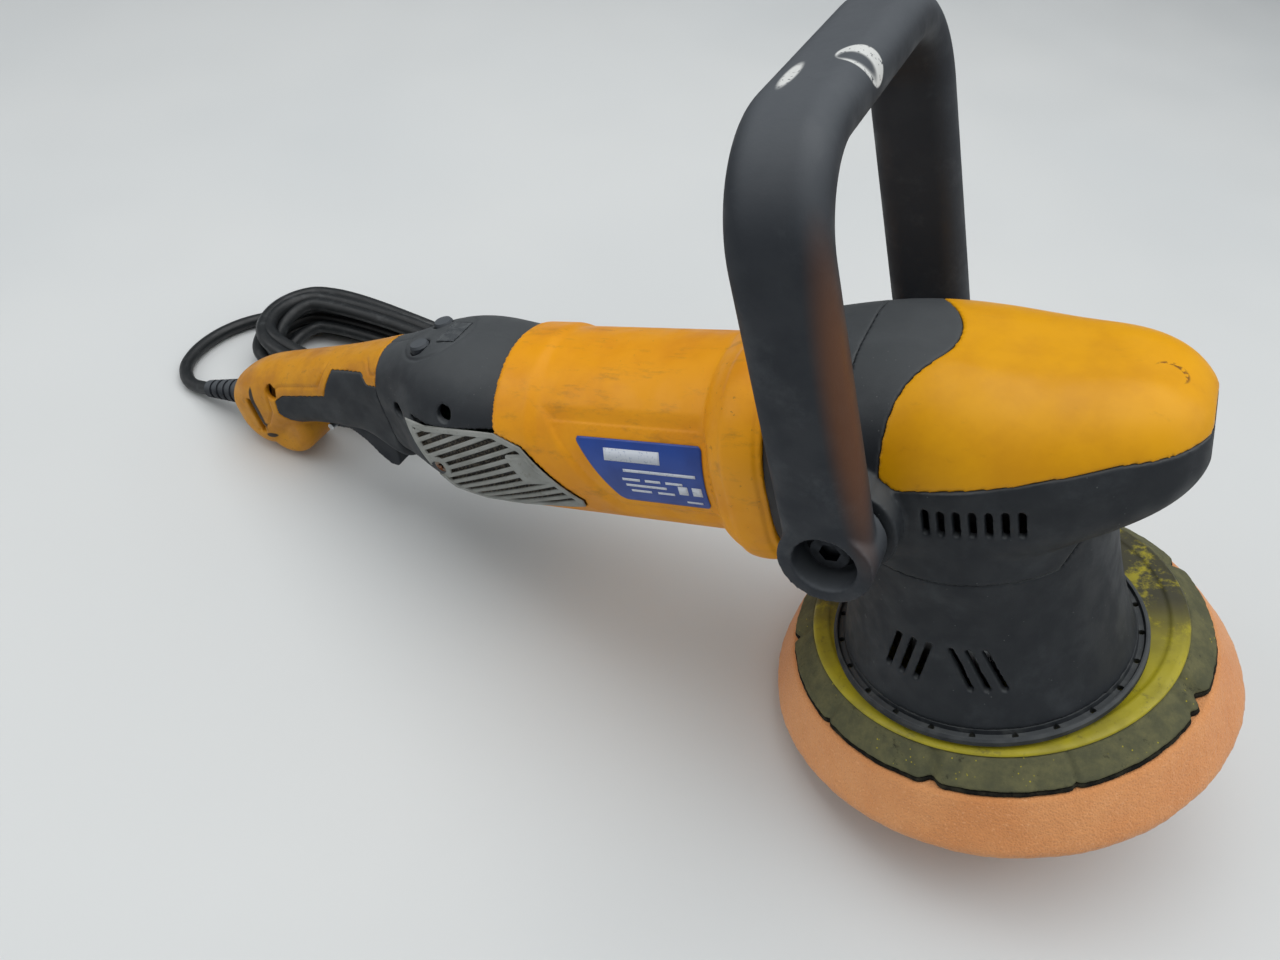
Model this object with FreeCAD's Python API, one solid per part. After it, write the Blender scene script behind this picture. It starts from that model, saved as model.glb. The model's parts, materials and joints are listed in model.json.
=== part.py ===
import FreeCAD, Part
import math
import os

# Dual action polisher: a long bodied electric machine with a D-handle, an
# eccentric pad drive and a foam pad, standing on a table as it is put down:
# the rear edge of the pad and the knob under the handle's end touch the table.
#
# Everything is modelled in the tool's own frame and leaned back at export.
# Tool frame (mm): +X forward to the nose, +Z up along the drive axis, +Y to
# the right hand side, origin on the drive axis in the plane of the pad's face.
# Row frame: z = 0 is the table, the origin lies under the middle of the box.

V = FreeCAD.Vector
X_AXIS = V(1, 0, 0)
Y_AXIS = V(0, 1, 0)
Z_AXIS = V(0, 0, 1)

# ---------------------------------------------------------------- dimensions
ORBIT_THROW = 10.5        # half of the 21 mm orbit
PLATE_RADIUS = 75.0       # 150 mm backing plate
PAD_RADIUS = 85.3
PAD_FACE_RADIUS = 78.0
PAD_THICKNESS = 24.5
PAD_EDGE_HEIGHT = 6.5
HOOK_LAYER = 2.0
PLATE_FOAM_TOP = 34.2
PLATE_FOAM_TOP_RADIUS = 66.5
PLATE_SKIN = 1.6

SKIRT_BOTTOM = 41.0
SKIRT_SEAM = 100.0
SKIRT_WALL = 3.0
VENT_RING_RADIUS = 54.6
VENT_RING_BOTTOM = 37.2
DRUM_RADIUS = 43.8

MOTOR_AXIS_Z = 119.0
MOTOR_RADIUS = 35.6
MOTOR_BORE = 32.2
MOTOR_REAR = -164.0
MOTOR_FRONT = -56.3
FLANGE_REAR = -73.0

BOSS_X = -27.0
BOSS_Z = 124.8
BOSS_FACE = 51.2
BOSS_RADIUS = 17.0
LEG_Y = 60.0
LEG_WIDTH = 27.0
LEG_DEPTH = 16.0
LEG_END_RADIUS = 14.5
GRIP_Z = 243.5
GRIP_CORNER = 27.0

GEAR_TEETH = 27
PINION_TEETH = 9
GEAR_RADIUS = 26.0

CORD_DIAMETER = 6.4
CORD_EXIT_Z = 119.0       # on the handle's end, in the tool frame
BOOT_LENGTH = 28.0
BOOT_RADIUS = 6.2
SHELL_WALL = 3.0
SLIP = 0.02               # between curved faces of pieces fixed to each other

TRIGGER_PIVOT = (-276.0, 112.5)
HANDLE_REAR = -335.0

# Cord in the row frame: it lies on the table at half its diameter.
CORD_LEAD = [(-241.0, -10.5, 7.5), (-249.4, -10.5, 4.2), (-257.5, -9.0, 3.3),
             (-265.5, -2.5, 3.3), (-269.5, 7.5, 3.3), (-270.5, 19.5, 3.3), (-268.5, 32.5, 3.3),
             (-263.0, 45.0, 3.3), (-254.0, 56.0, 4.0), (-242.0, 64.5, 6.0), (-228.0, 69.5, 8.0)]
CORD_TAIL = [(-166.0, 71.5, 12.0), (-154.0, 73.5, 9.5), (-142.0, 76.5, 7.5), (-130.0, 78.2, 8.0),
             (-118.0, 78.0, 9.0)]
PLUG_ENTRY = (-118.0, 78.0, 9.0)
COIL_LEFT = (-214.0, 41.5)
COIL_RIGHT = (-150.0, 44.0)
COIL_INNER = 16.5
COIL_OUTER = 35.0
COIL_BOTTOM = 0.2
COIL_TOP = 25.6


# ------------------------------------------------------------------- helpers
def cyl(radius, start, end_):
    """Round bar between two points."""
    axis = V(*end_) - V(*start)
    return Part.makeCylinder(radius, axis.Length, V(*start), axis)


def tube(r_out, r_in, start, end_):
    """Ring or sleeve between two points."""
    axis = V(*end_) - V(*start)
    step = axis / axis.Length
    bore = Part.makeCylinder(r_in, axis.Length + 2, V(*start) - step, axis)
    return cyl(r_out, start, end_).cut(bore)


def box(low, high):
    size = V(*high) - V(*low)
    return Part.makeBox(size.x, size.y, size.z, V(*low))


def join(shapes):
    shapes = list(shapes)
    return shapes[0].multiFuse(shapes[1:]).removeSplitter()


def turned(profile, center=(0, 0, 0), axis=Z_AXIS):
    """Solid of revolution; the profile is a list of (radius, height)."""
    points = [V(r, 0, h) for r, h in profile]
    face = Part.Face(Part.makePolygon(points + [points[0]]))
    solid = face.revolve(V(0, 0, 0), Z_AXIS, 360)
    solid.Placement = FreeCAD.Placement(V(*center), FreeCAD.Rotation(Z_AXIS, axis))
    return solid


def rounded_wire(x, half_width, z_low, z_high, r_top, r_bottom):
    """Closed section across the body at x, flat sided with round corners."""
    top = V(x, half_width - r_top, z_high)
    points = []

    def arc(cy, cz, radius, start):
        spots = []
        for turn in (0, 45, 90):
            a = math.radians(start + turn)
            spots.append(V(x, cy + radius * math.cos(a), cz + radius * math.sin(a)))
        return spots

    points.append(arc(top.y, z_high - r_top, r_top, 0))
    points.append(arc(-top.y, z_high - r_top, r_top, 90))
    low_y = half_width - r_bottom
    points.append(arc(-low_y, z_low + r_bottom, r_bottom, 180))
    points.append(arc(low_y, z_low + r_bottom, r_bottom, 270))
    edges = []
    for i, (a, b, c) in enumerate(points):
        edges.append(Part.Arc(a, b, c).toShape())
        edges.append(Part.LineSegment(c, points[(i + 1) % 4][0]).toShape())
    return Part.Wire(edges)


def body_loft(sections, inset=0.0):
    """Smooth body through (x, half width, z low, z high, top and bottom radius)."""
    wires = []
    for x, half, low, high, r_top, r_bottom in sections:
        wires.append(rounded_wire(x, half - inset, low + inset, high - inset,
                                  r_top - inset, r_bottom - inset))
    return Part.makeLoft(wires, True, False)


def side_prism(points, y_low, y_high):
    """Prism across the body from an outline of (x, z) points."""
    spots = [V(x, y_low, z) for x, z in points]
    face = Part.Face(Part.makePolygon(spots + [spots[0]]))
    return face.extrude(V(0, y_high - y_low, 0))


def curved_prism(points, y_low, y_high):
    """As side_prism, with a smooth closed curve through the points."""
    curve = Part.BSplineCurve()
    curve.interpolate([V(x, y_low, z) for x, z in points], PeriodicFlag=True)
    face = Part.Face(Part.Wire([curve.toShape()]))
    return face.extrude(V(0, y_high - y_low, 0))


def screw(seat, axis, head_radius, head_height, shank_radius, length):
    """Cross-slot screw: the seat is the head's underside, axis points outward."""
    out = V(*axis)
    at = V(*seat)
    head = Part.makeCylinder(head_radius, head_height, at, out)
    shank = Part.makeCylinder(shank_radius, length, at - out * length, out)
    body = join([head, shank])
    side = head_radius * 1.1
    for turn in (0, 90):
        slot = Part.makeBox(side, 0.9, head_height, V(-side / 2, -0.45, 0))
        slot.rotate(V(0, 0, 0), Z_AXIS, turn)
        slot.Placement = FreeCAD.Placement(
            at + out * head_height * 0.5, FreeCAD.Rotation(Z_AXIS, out)
        ).multiply(slot.Placement)
        body = body.cut(slot)
    return body


def ball_bearing(center, axis, r_in, r_out, width, balls):
    """Outer ring, inner ring and balls, with a little play between them."""
    middle = (r_in + r_out) / 2
    ball = (r_out - r_in) * 0.27
    step = V(*axis)
    start = V(*center) - step * width / 2
    end_ = V(*center) + step * width / 2
    groove = Part.makeTorus(middle, ball + 0.12, V(*center), step)
    outer = tube(r_out, middle + ball * 0.45, start, end_).cut(groove)
    inner = tube(middle - ball * 0.45, r_in, start, end_).cut(groove)
    turn = FreeCAD.Rotation(Z_AXIS, step)
    spots = []
    for i in range(balls):
        a = 2 * math.pi * i / balls
        offset = turn.multVec(V(middle * math.cos(a), middle * math.sin(a), 0))
        spots.append(Part.makeSphere(ball, V(*center) + offset))
    return outer, inner, spots


# ------------------------------------------------------------- head sections
HEAD = [
    (MOTOR_FRONT, 38.0, 81.5, 157.5, 34.0, 34.0),
    (-42.0, 42.5, 80.5, 162.5, 37.0, 37.0),
    (-20.0, 43.5, 88.0, 163.5, 35.0, 30.0),
    (8.0, 43.0, 97.0, 160.0, 31.0, 18.0),
    (32.0, 38.0, 107.0, 157.0, 27.0, 15.0),
    (50.0, 31.0, 115.0, 155.5, 22.0, 12.0),
    (62.0, 22.0, 121.0, 150.5, 16.0, 10.0),
    (67.5, 11.0, 127.5, 144.0, 7.0, 6.0),
]
NOSE_LOWER_EDGE = [(-17, 138), (-12, 134.5), (18, 137), (47, 141), (80, 139)]


def head_solid(inset=0.0):
    return body_loft(HEAD, inset)


def drum(radius):
    """Round lower part of the head, chamfered under the nose."""
    body = cyl(radius, (0, 0, SKIRT_SEAM), (0, 0, 136))
    chin = side_prism([(24, 90), (60, 90), (60, 142)], -60, 60)
    return body.cut(chin)


def nose_zone():
    """Space of the yellow nose cover: above its lower edge, ahead of the lobe."""
    side = side_prism(NOSE_LOWER_EDGE + [(80, 190), (-17, 190)], -60, 60)
    curve = Part.BSplineCurve()
    rear = [(-17, -60), (-17, -42), (-15, -33), (-10.5, -22), (-3, -9), (-3, 9),
            (-10.5, 22), (-15, 33), (-17, 42), (-17, 60)]
    curve.interpolate([V(x, y, 100) for x, y in rear])
    front = Part.makePolygon([V(-17, 60, 100), V(90, 60, 100), V(90, -60, 100),
                              V(-17, -60, 100)])
    face = Part.Face(Part.Wire([curve.toShape()] + front.Edges))
    return side.common(face.extrude(V(0, 0, 100)))


def head_pieces():
    outer = head_solid()
    hollow = head_solid(SHELL_WALL)
    shell = outer.cut(hollow)
    shell = shell.cut(box((MOTOR_FRONT - 5, -60, 60), (MOTOR_FRONT + 0.0, 60, 200)))
    shell = shell.cut(cyl(40.0, (0, 0, 80), (0, 0, 118)))
    drum_shell = drum(DRUM_RADIUS).cut(cyl(40.0, (0, 0, 90), (0, 0, 140)))
    drum_shell = drum_shell.cut(hollow)
    zone = nose_zone()
    nose_skin = outer.cut(head_solid(SHELL_WALL)).common(zone)
    cover = join([shell, drum_shell]).cut(zone)
    cover = cover.cut(cyl(34.5, (0, 0, 80), (0, 0, 118)))
    bosses = []
    for side in (-1, 1):
        boss = cyl(BOSS_RADIUS, (BOSS_X, side * 36, BOSS_Z), (BOSS_X, side * BOSS_FACE, BOSS_Z))
        bosses.append(boss.cut(hollow).cut(zone))
    rear_zone = box((MOTOR_FRONT - 1, -60, 60), (-29.0, 60, 200))
    for side in (-1, 1):
        rear_zone = rear_zone.cut(cyl(BOSS_RADIUS, (BOSS_X, side * 20, BOSS_Z),
                                      (BOSS_X, side * 60, BOSS_Z)))
    collar = cover.common(rear_zone)
    cover = join([cover.cut(rear_zone)] + bosses)
    for side in (-1, 1):
        cover = cover.cut(cyl(4.1, (BOSS_X, side * 30, BOSS_Z), (BOSS_X, side * 60, BOSS_Z)))
        for i in range(7):
            slot_x = -5.0 + 4.45 * i
            cover = cover.cut(box((slot_x, side * 44 - 8, 119.5), (slot_x + 2.1, side * 44 + 8, 129.0)))
    return cover, collar, nose_skin


def skirt_profile(z):
    """Outer radius of the skirt: straight neck that flares to the ring."""
    t = (SKIRT_SEAM - z) / (SKIRT_SEAM - SKIRT_BOTTOM)
    return DRUM_RADIUS - 0.3 + 7.0 * max(t, 0) ** 2.2


def skirt():
    heights = [SKIRT_BOTTOM, 47, 55, 66, 82, SKIRT_SEAM]
    outer = Part.BSplineCurve()
    outer.interpolate([V(skirt_profile(z), 0, z) for z in heights])
    inner = Part.BSplineCurve()
    inner.interpolate([V(skirt_profile(z) - SKIRT_WALL, 0, z) for z in heights])
    top = 124.0
    neck = DRUM_RADIUS - 0.3
    path = [
        outer.toShape(),
        Part.LineSegment(V(neck, 0, SKIRT_SEAM), V(neck, 0, top)).toShape(),
        Part.LineSegment(V(neck, 0, top), V(neck - SKIRT_WALL, 0, top)).toShape(),
        Part.LineSegment(V(neck - SKIRT_WALL, 0, top),
                         V(neck - SKIRT_WALL, 0, SKIRT_SEAM)).toShape(),
        inner.toShape(),
        Part.LineSegment(V(skirt_profile(SKIRT_BOTTOM) - SKIRT_WALL, 0, SKIRT_BOTTOM),
                         V(skirt_profile(SKIRT_BOTTOM), 0, SKIRT_BOTTOM)).toShape(),
    ]
    wire = Part.Wire(Part.sortEdges(path)[0])
    body = Part.Face(wire).revolve(V(0, 0, 0), Z_AXIS, 360)
    body = body.cut(head_solid()).cut(drum(DRUM_RADIUS + 0.01))
    pieces = sorted(body.Solids, key=lambda s: s.Volume)
    body = pieces[-1]
    for side in (-1, 1):
        for i in range(3):
            for lean, first, step in ((18.5, -19.7, 5.2), (-20.5, 3.3, 5.15)):
                slot = box((-1.0, side * 46 - 12, -9), (1.0, side * 46 + 12, 9))
                slot.rotate(V(0, side * 46, 0), Y_AXIS, lean)
                slot.translate(V(first + step * i, 0, 64.2))
                body = body.cut(slot)
    return body


def vent_ring():
    """Flange round the skirt's foot with a groove of small round holes."""
    profile = [
        (47.3, VENT_RING_BOTTOM), (VENT_RING_RADIUS - 0.6, VENT_RING_BOTTOM),
        (VENT_RING_RADIUS, VENT_RING_BOTTOM + 0.8), (VENT_RING_RADIUS, 39.8),
        (VENT_RING_RADIUS - 0.8, 40.6), (53.2, 40.6), (52.6, 39.4), (50.9, 39.4),
        (50.5, SKIRT_BOTTOM), (47.3, SKIRT_BOTTOM),
    ]
    ring = turned(profile)
    holes = []
    for i in range(24):
        a = 2 * math.pi * (i + 0.5) / 24
        x = 51.75 * math.cos(a)
        y = 51.75 * math.sin(a)
        holes.append(cyl(1.1, (x, y, 30), (x, y, 45)))
    return ring.cut(Part.makeCompound(holes))


# ------------------------------------------------------------- motor housing
PANEL_OUTLINE = [(-140.5, 139.0), (-78.0, 139.0), (-77.5, 107.5), (-116.5, 107.5)]
PANEL_DEPTH = 0.9


def motor_housing():
    """Round yellow shell with a heavier flange where it meets the head."""
    body = cyl(MOTOR_RADIUS, (MOTOR_REAR, 0, MOTOR_AXIS_Z), (FLANGE_REAR, 0, MOTOR_AXIS_Z))
    flange = body_loft([
        (FLANGE_REAR - 6, 35.2, 83.8, 154.2, 33.0, 33.0),
        (FLANGE_REAR, 38.0, 81.5, 157.0, 30.0, 29.0),
        (MOTOR_FRONT, 38.3, 81.2, 157.5, 31.0, 29.0),
    ])
    shell = join([body, flange])
    bore = cyl(MOTOR_BORE, (MOTOR_REAR - 5, 0, MOTOR_AXIS_Z), (MOTOR_FRONT + 5, 0, MOTOR_AXIS_Z))
    shell = shell.cut(bore)
    for side in (-1, 1):
        shell = shell.cut(grille_pocket(side))
        panel = side_prism(PANEL_OUTLINE, side * 36 - 24, side * 36 + 24)
        shell = shell.cut(panel.common(tube(MOTOR_RADIUS + 2, MOTOR_RADIUS - PANEL_DEPTH,
                                            (-160, 0, MOTOR_AXIS_Z), (-70, 0, MOTOR_AXIS_Z))))
    return shell


def label_plate():
    """Thin trapezoid sheet in the near flank's recess, bent round the shell."""
    floor = MOTOR_RADIUS - PANEL_DEPTH
    sheet = tube(floor + 0.6, floor + SLIP, (-140, 0, MOTOR_AXIS_Z), (-60, 0, MOTOR_AXIS_Z))
    window = side_prism([(-131, 135.0), (-79.5, 135.4), (-79.5, 110.6), (-115.0, 110.4)], -60, 0)
    return sheet.common(window)


# ----------------------------------------------------- rear housing, handle
REAR = [
    (MOTOR_REAR, 34.6, 84.4, 153.6, 33.0, 33.0),
    (-180.0, 34.6, 85.0, 156.0, 32.0, 31.0),
    (-200.0, 32.0, 90.0, 156.5, 28.0, 28.0),
    (-218.0, 24.5, 97.5, 153.0, 22.0, 20.0),
    (-232.0, 18.5, 101.5, 150.5, 17.0, 15.0),
]
HANDLE = [
    (-232.0, 18.5, 101.5, 150.5, 17.0, 15.0),
    (-246.0, 16.8, 104.5, 148.0, 15.5, 13.0),
    (-264.0, 15.8, 110.0, 145.0, 14.5, 12.5),
    (-290.0, 15.5, 110.5, 141.5, 14.0, 12.5),
    (-302.0, 15.5, 107.0, 140.0, 14.0, 12.5),
    (-316.0, 15.3, 97.0, 137.5, 14.0, 12.5),
    (-327.0, 14.0, 97.0, 133.5, 13.0, 12.0),
    (HANDLE_REAR, 9.5, 105.0, 127.0, 8.5, 8.5),
]
GRILLE_OUTLINE = [(-207, 137), (-197, 134.5), (-165, 134.5), (-153, 130), (-133, 107),
                  (-134, 103), (-140, 101.5), (-165, 97.5), (-182, 99), (-193, 106)]
GRILLE_SCREW = (-195.5, 117)
RECESSES = ((-216.5, 134.5), (-187.0, 139.5))
COVER_LOWER_EDGE = [(-224, 160), (-223.5, 140), (-238, 139.5), (-241, 143.5), (-261, 142),
                    (-267, 131.5), (-294, 129.5)]


def grille_pocket(side):
    """Space of the grille on one side, let into the shells."""
    zone = side_prism(GRILLE_OUTLINE, side * 36 - 24, side * 36 + 24)
    return zone.cut(cyl(31.0, (-230, 0, MOTOR_AXIS_Z), (-120, 0, MOTOR_AXIS_Z)))


def grille(side):
    """Slotted grey air grille, 11 slanted slots and a plain raised window."""
    plate = side_prism(GRILLE_OUTLINE, side * 36 - 24, side * 36 + 24)
    plate = plate.common(tube(36.6, 34.2, (-206, 0, MOTOR_AXIS_Z), (-132, 0, MOTOR_AXIS_Z)))
    window = side_prism([(-174, 121), (-160, 122.5), (-149, 111.5), (-162, 110)], side * 36 - 24,
                        side * 36 + 24)
    slots = []
    for i in range(11):
        low_x = -200.5 + 5.6 * i
        outline = [(low_x + 10, 131.8 - 2.2 * i), (low_x + 30, 131.8 - 2.2 * i + 0.8),
                   (low_x + 31.5, 130.2 - 2.2 * i + 0.8), (low_x + 11, 130.2 - 2.2 * i)]
        slots.append(side_prism(outline, side * 36 - 24, side * 36 + 24))
    cutter = Part.makeCompound(slots).cut(window)
    body = plate.cut(cutter)
    body = body.cut(cyl(3.4, (-195.5, side * 20, 117), (-195.5, side * 45, 117)))
    return max(body.Solids, key=lambda s: s.Volume)


def grille_filter(side):
    """Fine dust mesh sheet behind the grille's slots."""
    sheet = side_prism([(-196, 132), (-168, 132), (-140, 106), (-170, 101), (-186, 105)],
                       side * 36 - 24, side * 36 + 24)
    return sheet.common(tube(34.0, 33.2, (-204, 0, MOTOR_AXIS_Z), (-134, 0, MOTOR_AXIS_Z)))


def rear_housing():
    outer = body_loft(REAR)
    hollow = body_loft(REAR, SHELL_WALL)
    shell = outer.cut(hollow)
    for side in (-1, 1):
        shell = shell.cut(grille_pocket(side))
        for x, z in RECESSES:
            shell = shell.cut(cyl(3.2, (x, side * 40, z), (x, side * 12, z)))
        x, z = GRILLE_SCREW
        shell = shell.cut(cyl(1.6, (x, side * 10, z), (x, side * 40, z)))
        shell = shell.cut(cyl(3.5, (x, side * 31, z), (x, side * 40, z)))
    shell = shell.cut(console_cut())
    return shell


def console_cut():
    """Openings in the rear housing's roof for the display and two buttons."""
    openings = [box((-200.5, -7.0, 148), (-191.5, 7.0, 165))]
    for side in (-1, 1):
        openings.append(cyl(4.3, (-208.0, side * 8.5, 145), (-208.0, side * 8.5, 165)))
    return Part.makeCompound(openings)


def cover_zone():
    """Space of the yellow handle cover: the roof and the knob at the rear."""
    roof = side_prism(COVER_LOWER_EDGE + [(-300, 126.5), (-302, 118), (-309, 110), (-322, 104),
                                          (-345, 104), (-345, 165)], -30, 30)
    knob = curved_prism([(-288, 108.5), (-296, 114), (-304, 122), (-325, 125), (-345, 118),
                         (-345, 85), (-316, 85), (-292, 95)], -30, 30)
    return join([roof, knob])


def knob_solid():
    """Rounded knob under the rear end of the handle."""
    knob = cyl(15.0, (-309, -13.0, 108.5), (-309, 13.0, 108.5))
    return knob.makeFillet(5.0, [e for e in knob.Edges if abs(e.Length - 30 * math.pi) < 1])


def handle_pieces():
    outer = body_loft(HANDLE)
    hollow = body_loft(HANDLE, SHELL_WALL)
    outer = outer.fuse(knob_solid()).removeSplitter()
    shell = outer.cut(hollow)
    zone = cover_zone()
    cover = shell.common(zone)
    grip = shell.cut(zone)
    trigger_gap = side_prism([(-281, 118), (-281, 95), (-245, 85), (-243.5, 118)], -9.3, 9.3)
    pin = cyl(1.5, (TRIGGER_PIVOT[0], -20, TRIGGER_PIVOT[1]),
              (TRIGGER_PIVOT[0], 20, TRIGGER_PIVOT[1]))
    grip = grip.cut(trigger_gap).cut(pin)
    left = grip.common(box((-340, -40, 80), (-225, 0, 170)))
    right = grip.common(box((-340, 0, 80), (-225, 40, 170)))
    slots = []
    for side in (-1, 1):
        slot = box((-319.5, side * 14 - 3, 108), (-316.5, side * 14 + 3, 126))
        slots.append(slot)
        tear = cyl(3.4, (-301, side * 10, 130.5), (-301, side * 20, 130.5))
        slots.append(tear)
    cover = cover.cut(Part.makeCompound(slots))
    cover = cover.cut(cyl(BOOT_RADIUS, (-345, 0, CORD_EXIT_Z), (-325, 0, CORD_EXIT_Z)))
    left = left.cut(cyl(BOOT_RADIUS, (-345, 0, CORD_EXIT_Z), (-325, 0, CORD_EXIT_Z)))
    right = right.cut(cyl(BOOT_RADIUS, (-345, 0, CORD_EXIT_Z), (-325, 0, CORD_EXIT_Z)))
    return left, right, cover


# ----------------------------------------------------------- console, board
def display_lens():
    return box((-200.2, -6.7, 150.5), (-191.8, 6.7, 156.6))


def display_module():
    return box((-203.0, -11.0, 146.0), (-189.0, 11.0, 150.3))


def speed_button(side):
    """Round push button with a domed edge, standing just above the roof."""
    cap = [(0, 151.2), (4.0, 151.2), (4.0, 155.2), (3.4, 156.2), (0, 156.4)]
    return turned(cap, (-208.0, side * 8.5, 0))


def speed_board():
    """Control board with its heat sink and capacitors, under the display."""
    board = box((-216, -17, 113), (-188, 17, 114.6))
    sink = box((-214, -14, 114.6), (-206, 14, 120))
    caps = [cyl(3.5, (-196, y, 114.6), (-196, y, 124)) for y in (-9, 0, 9)]
    return join([board, sink] + caps)


def switch_module():
    body = box((-262, -8.5, 122), (-238, 8.5, 136))
    plunger = box((-257, -2.5, 119.2), (-251, 2.5, 122))
    return join([body, plunger])


def cable_clamp():
    """Bridge that grips the cord inside the handle."""
    base = box((-300, -9, 115), (-294, 9, 118))
    cheeks = [box((-300, y - 2, 117.5), (-294, y + 2, 124)) for y in (-7, 7)]
    return join([base] + cheeks)


def recess_screws():
    """Screws sunk in the flanks' round recesses."""
    solids = []
    for x, z in RECESSES:
        for side in (-1, 1):
            solids.append(screw((x, side * 17.5, z), (0, side, 0), 3.0, 2.0, 1.4, 8.0))
    return Part.makeCompound(solids)


# ------------------------------------------------------------ trigger, D-handle
TRIGGER_OUTLINE = [(-279.5, 115), (-279.5, 110), (-269, 109.5), (-263, 104.5), (-257, 95),
                   (-253.5, 91.3), (-250, 90.5), (-247.5, 92.5), (-246.5, 97), (-246.5, 112),
                   (-252, 113.5), (-270, 115.5)]


def trigger():
    """Paddle under the handle, hinged at its rear end."""
    body = side_prism(TRIGGER_OUTLINE, -8.8, 8.8)
    x, z = TRIGGER_PIVOT
    long_edges = [e for e in body.Edges if abs(e.Length - 17.6) < 0.01]
    tip = [e for e in long_edges if e.CenterOfMass.z < 96]
    body = body.makeFillet(1.2, tip)
    return body.cut(cyl(1.55, (x, -10, z), (x, 10, z)))


def trigger_pin():
    x, z = TRIGGER_PIVOT
    return cyl(1.5, (x, -12.4, z), (x, 12.4, z))


def leg_section(y, z):
    """Round cornered section of the D-handle, across a leg at (y, z)."""
    half_x = LEG_WIDTH / 2
    half_y = LEG_DEPTH / 2
    block = Part.makeBox(LEG_WIDTH, LEG_DEPTH, 1, V(BOSS_X - half_x, y - half_y, z))
    corners = [e for e in block.Edges if abs(e.Length - 1) < 1e-6]
    face = [f for f in block.makeFillet(half_y - 0.6, corners).Faces
            if abs(f.CenterOfMass.z - z) < 1e-6]
    return face[0]


def d_handle():
    """Bail of two legs and a grip, round ends on the bosses, counterbored."""
    bend_z = GRIP_Z - GRIP_CORNER
    bend_y = LEG_Y - GRIP_CORNER
    solids = []
    for side in (-1, 1):
        leg = leg_section(side * LEG_Y, BOSS_Z).extrude(V(0, 0, bend_z - BOSS_Z))
        end_ = cyl(LEG_END_RADIUS, (BOSS_X, side * (LEG_Y - LEG_DEPTH / 2), BOSS_Z),
                   (BOSS_X, side * (LEG_Y + LEG_DEPTH / 2), BOSS_Z))
        bend = leg_section(side * LEG_Y, bend_z).revolve(
            V(BOSS_X, side * bend_y, bend_z), V(1, 0, 0), side * 90)
        solids += [leg, end_, bend]
    start = leg_section(LEG_Y, bend_z)
    start.rotate(V(BOSS_X, bend_y, bend_z), X_AXIS, 90)
    solids.append(start.extrude(V(0, -2 * bend_y, 0)))
    body = join(solids)
    for side in (-1, 1):
        inner = side * (LEG_Y - LEG_DEPTH / 2 - 1)
        outer = side * (LEG_Y + LEG_DEPTH / 2 + 1)
        body = body.cut(cyl(4.05, (BOSS_X, inner, BOSS_Z), (BOSS_X, outer, BOSS_Z)))
        body = body.cut(cyl(9.8, (BOSS_X, side * 56.5, BOSS_Z), (BOSS_X, outer, BOSS_Z)))
    return body


def handle_bolts():
    """Hex socket bolts that hold the D-handle to the bosses."""
    solids = []
    for side in (-1, 1):
        head = cyl(6.0, (BOSS_X, side * 57.8, BOSS_Z), (BOSS_X, side * 62.0, BOSS_Z))
        shank = cyl(4.0, (BOSS_X, side * 34, BOSS_Z), (BOSS_X, side * 58, BOSS_Z))
        socket = Part.Face(Part.makePolygon([
            V(BOSS_X + 3.4 * math.cos(math.radians(60 * i)), side * 59.4,
              BOSS_Z + 3.4 * math.sin(math.radians(60 * i))) for i in range(7)]))
        solids.append(join([head, shank]).cut(socket.extrude(V(0, side * 5, 0))))
    return Part.makeCompound(solids)


def handle_washers():
    return Part.makeCompound([
        tube(8.6, 4.0, (BOSS_X, side * 56.8, BOSS_Z), (BOSS_X, side * 57.8, BOSS_Z))
        for side in (-1, 1)])


# ---------------------------------------------------------- gearbox and drive
def gear_case():
    """Cast case round the bevel gears with a neck towards the motor."""
    body = turned([(0, 77.5), (33, 77.5), (33, 139), (0, 139)])
    neck = cyl(24, (-54, 0, MOTOR_AXIS_Z), (-20, 0, MOTOR_AXIS_Z))
    plate = cyl(32, (-56, 0, MOTOR_AXIS_Z), (-52, 0, MOTOR_AXIS_Z))
    body = join([body, neck, plate])
    body = body.cut(cyl(29.5, (0, 0, 92), (0, 0, 129.5)))
    body = body.cut(cyl(20.0, (0, 0, 76), (0, 0, 90)))
    body = body.cut(cyl(16.0, (0, 0, 85), (0, 0, 95)))
    body = body.cut(cyl(11.0, (0, 0, 120), (0, 0, 138)))
    body = body.cut(cyl(13.0, (-57, 0, MOTOR_AXIS_Z), (-42, 0, MOTOR_AXIS_Z)))
    return body.cut(cyl(11.5, (-43, 0, MOTOR_AXIS_Z), (-25, 0, MOTOR_AXIS_Z)))


def bevel_teeth(count, pitch_angle, heel, toe, add, ded, half_pitch, phase, place):
    """Straight teeth that all point at the apex of the two gears."""
    teeth = []
    for i in range(count):
        center = 2 * math.pi * (i + phase) / count
        quads = []
        for reach in (toe, heel):
            corners = []
            for cone, half in ((pitch_angle - ded, half_pitch * 1.30),
                               (pitch_angle + add, half_pitch * 0.66)):
                for turn in (-half, half):
                    corners.append(place(reach, cone, center + turn))
            a, b, c, d = corners
            quads.append(Part.makePolygon([a, b, d, c, a]))
        teeth.append(Part.makeLoft(quads, True, True))
    return teeth


HEEL = math.hypot(GEAR_RADIUS, GEAR_RADIUS * PINION_TEETH / GEAR_TEETH)
TOE = HEEL * 0.68
ADDENDUM = 1.0 / HEEL
DEDENDUM = 1.55 / HEEL
GEAR_CONE = math.atan2(GEAR_TEETH, PINION_TEETH)


def on_gear(reach, cone, turn):
    return V(reach * math.sin(cone) * math.cos(turn), reach * math.sin(cone) * math.sin(turn),
             MOTOR_AXIS_Z - reach * math.cos(cone))


def on_pinion(reach, cone, turn):
    return V(-reach * math.cos(cone), reach * math.sin(cone) * math.sin(turn),
             MOTOR_AXIS_Z - reach * math.sin(cone) * math.cos(turn))


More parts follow.
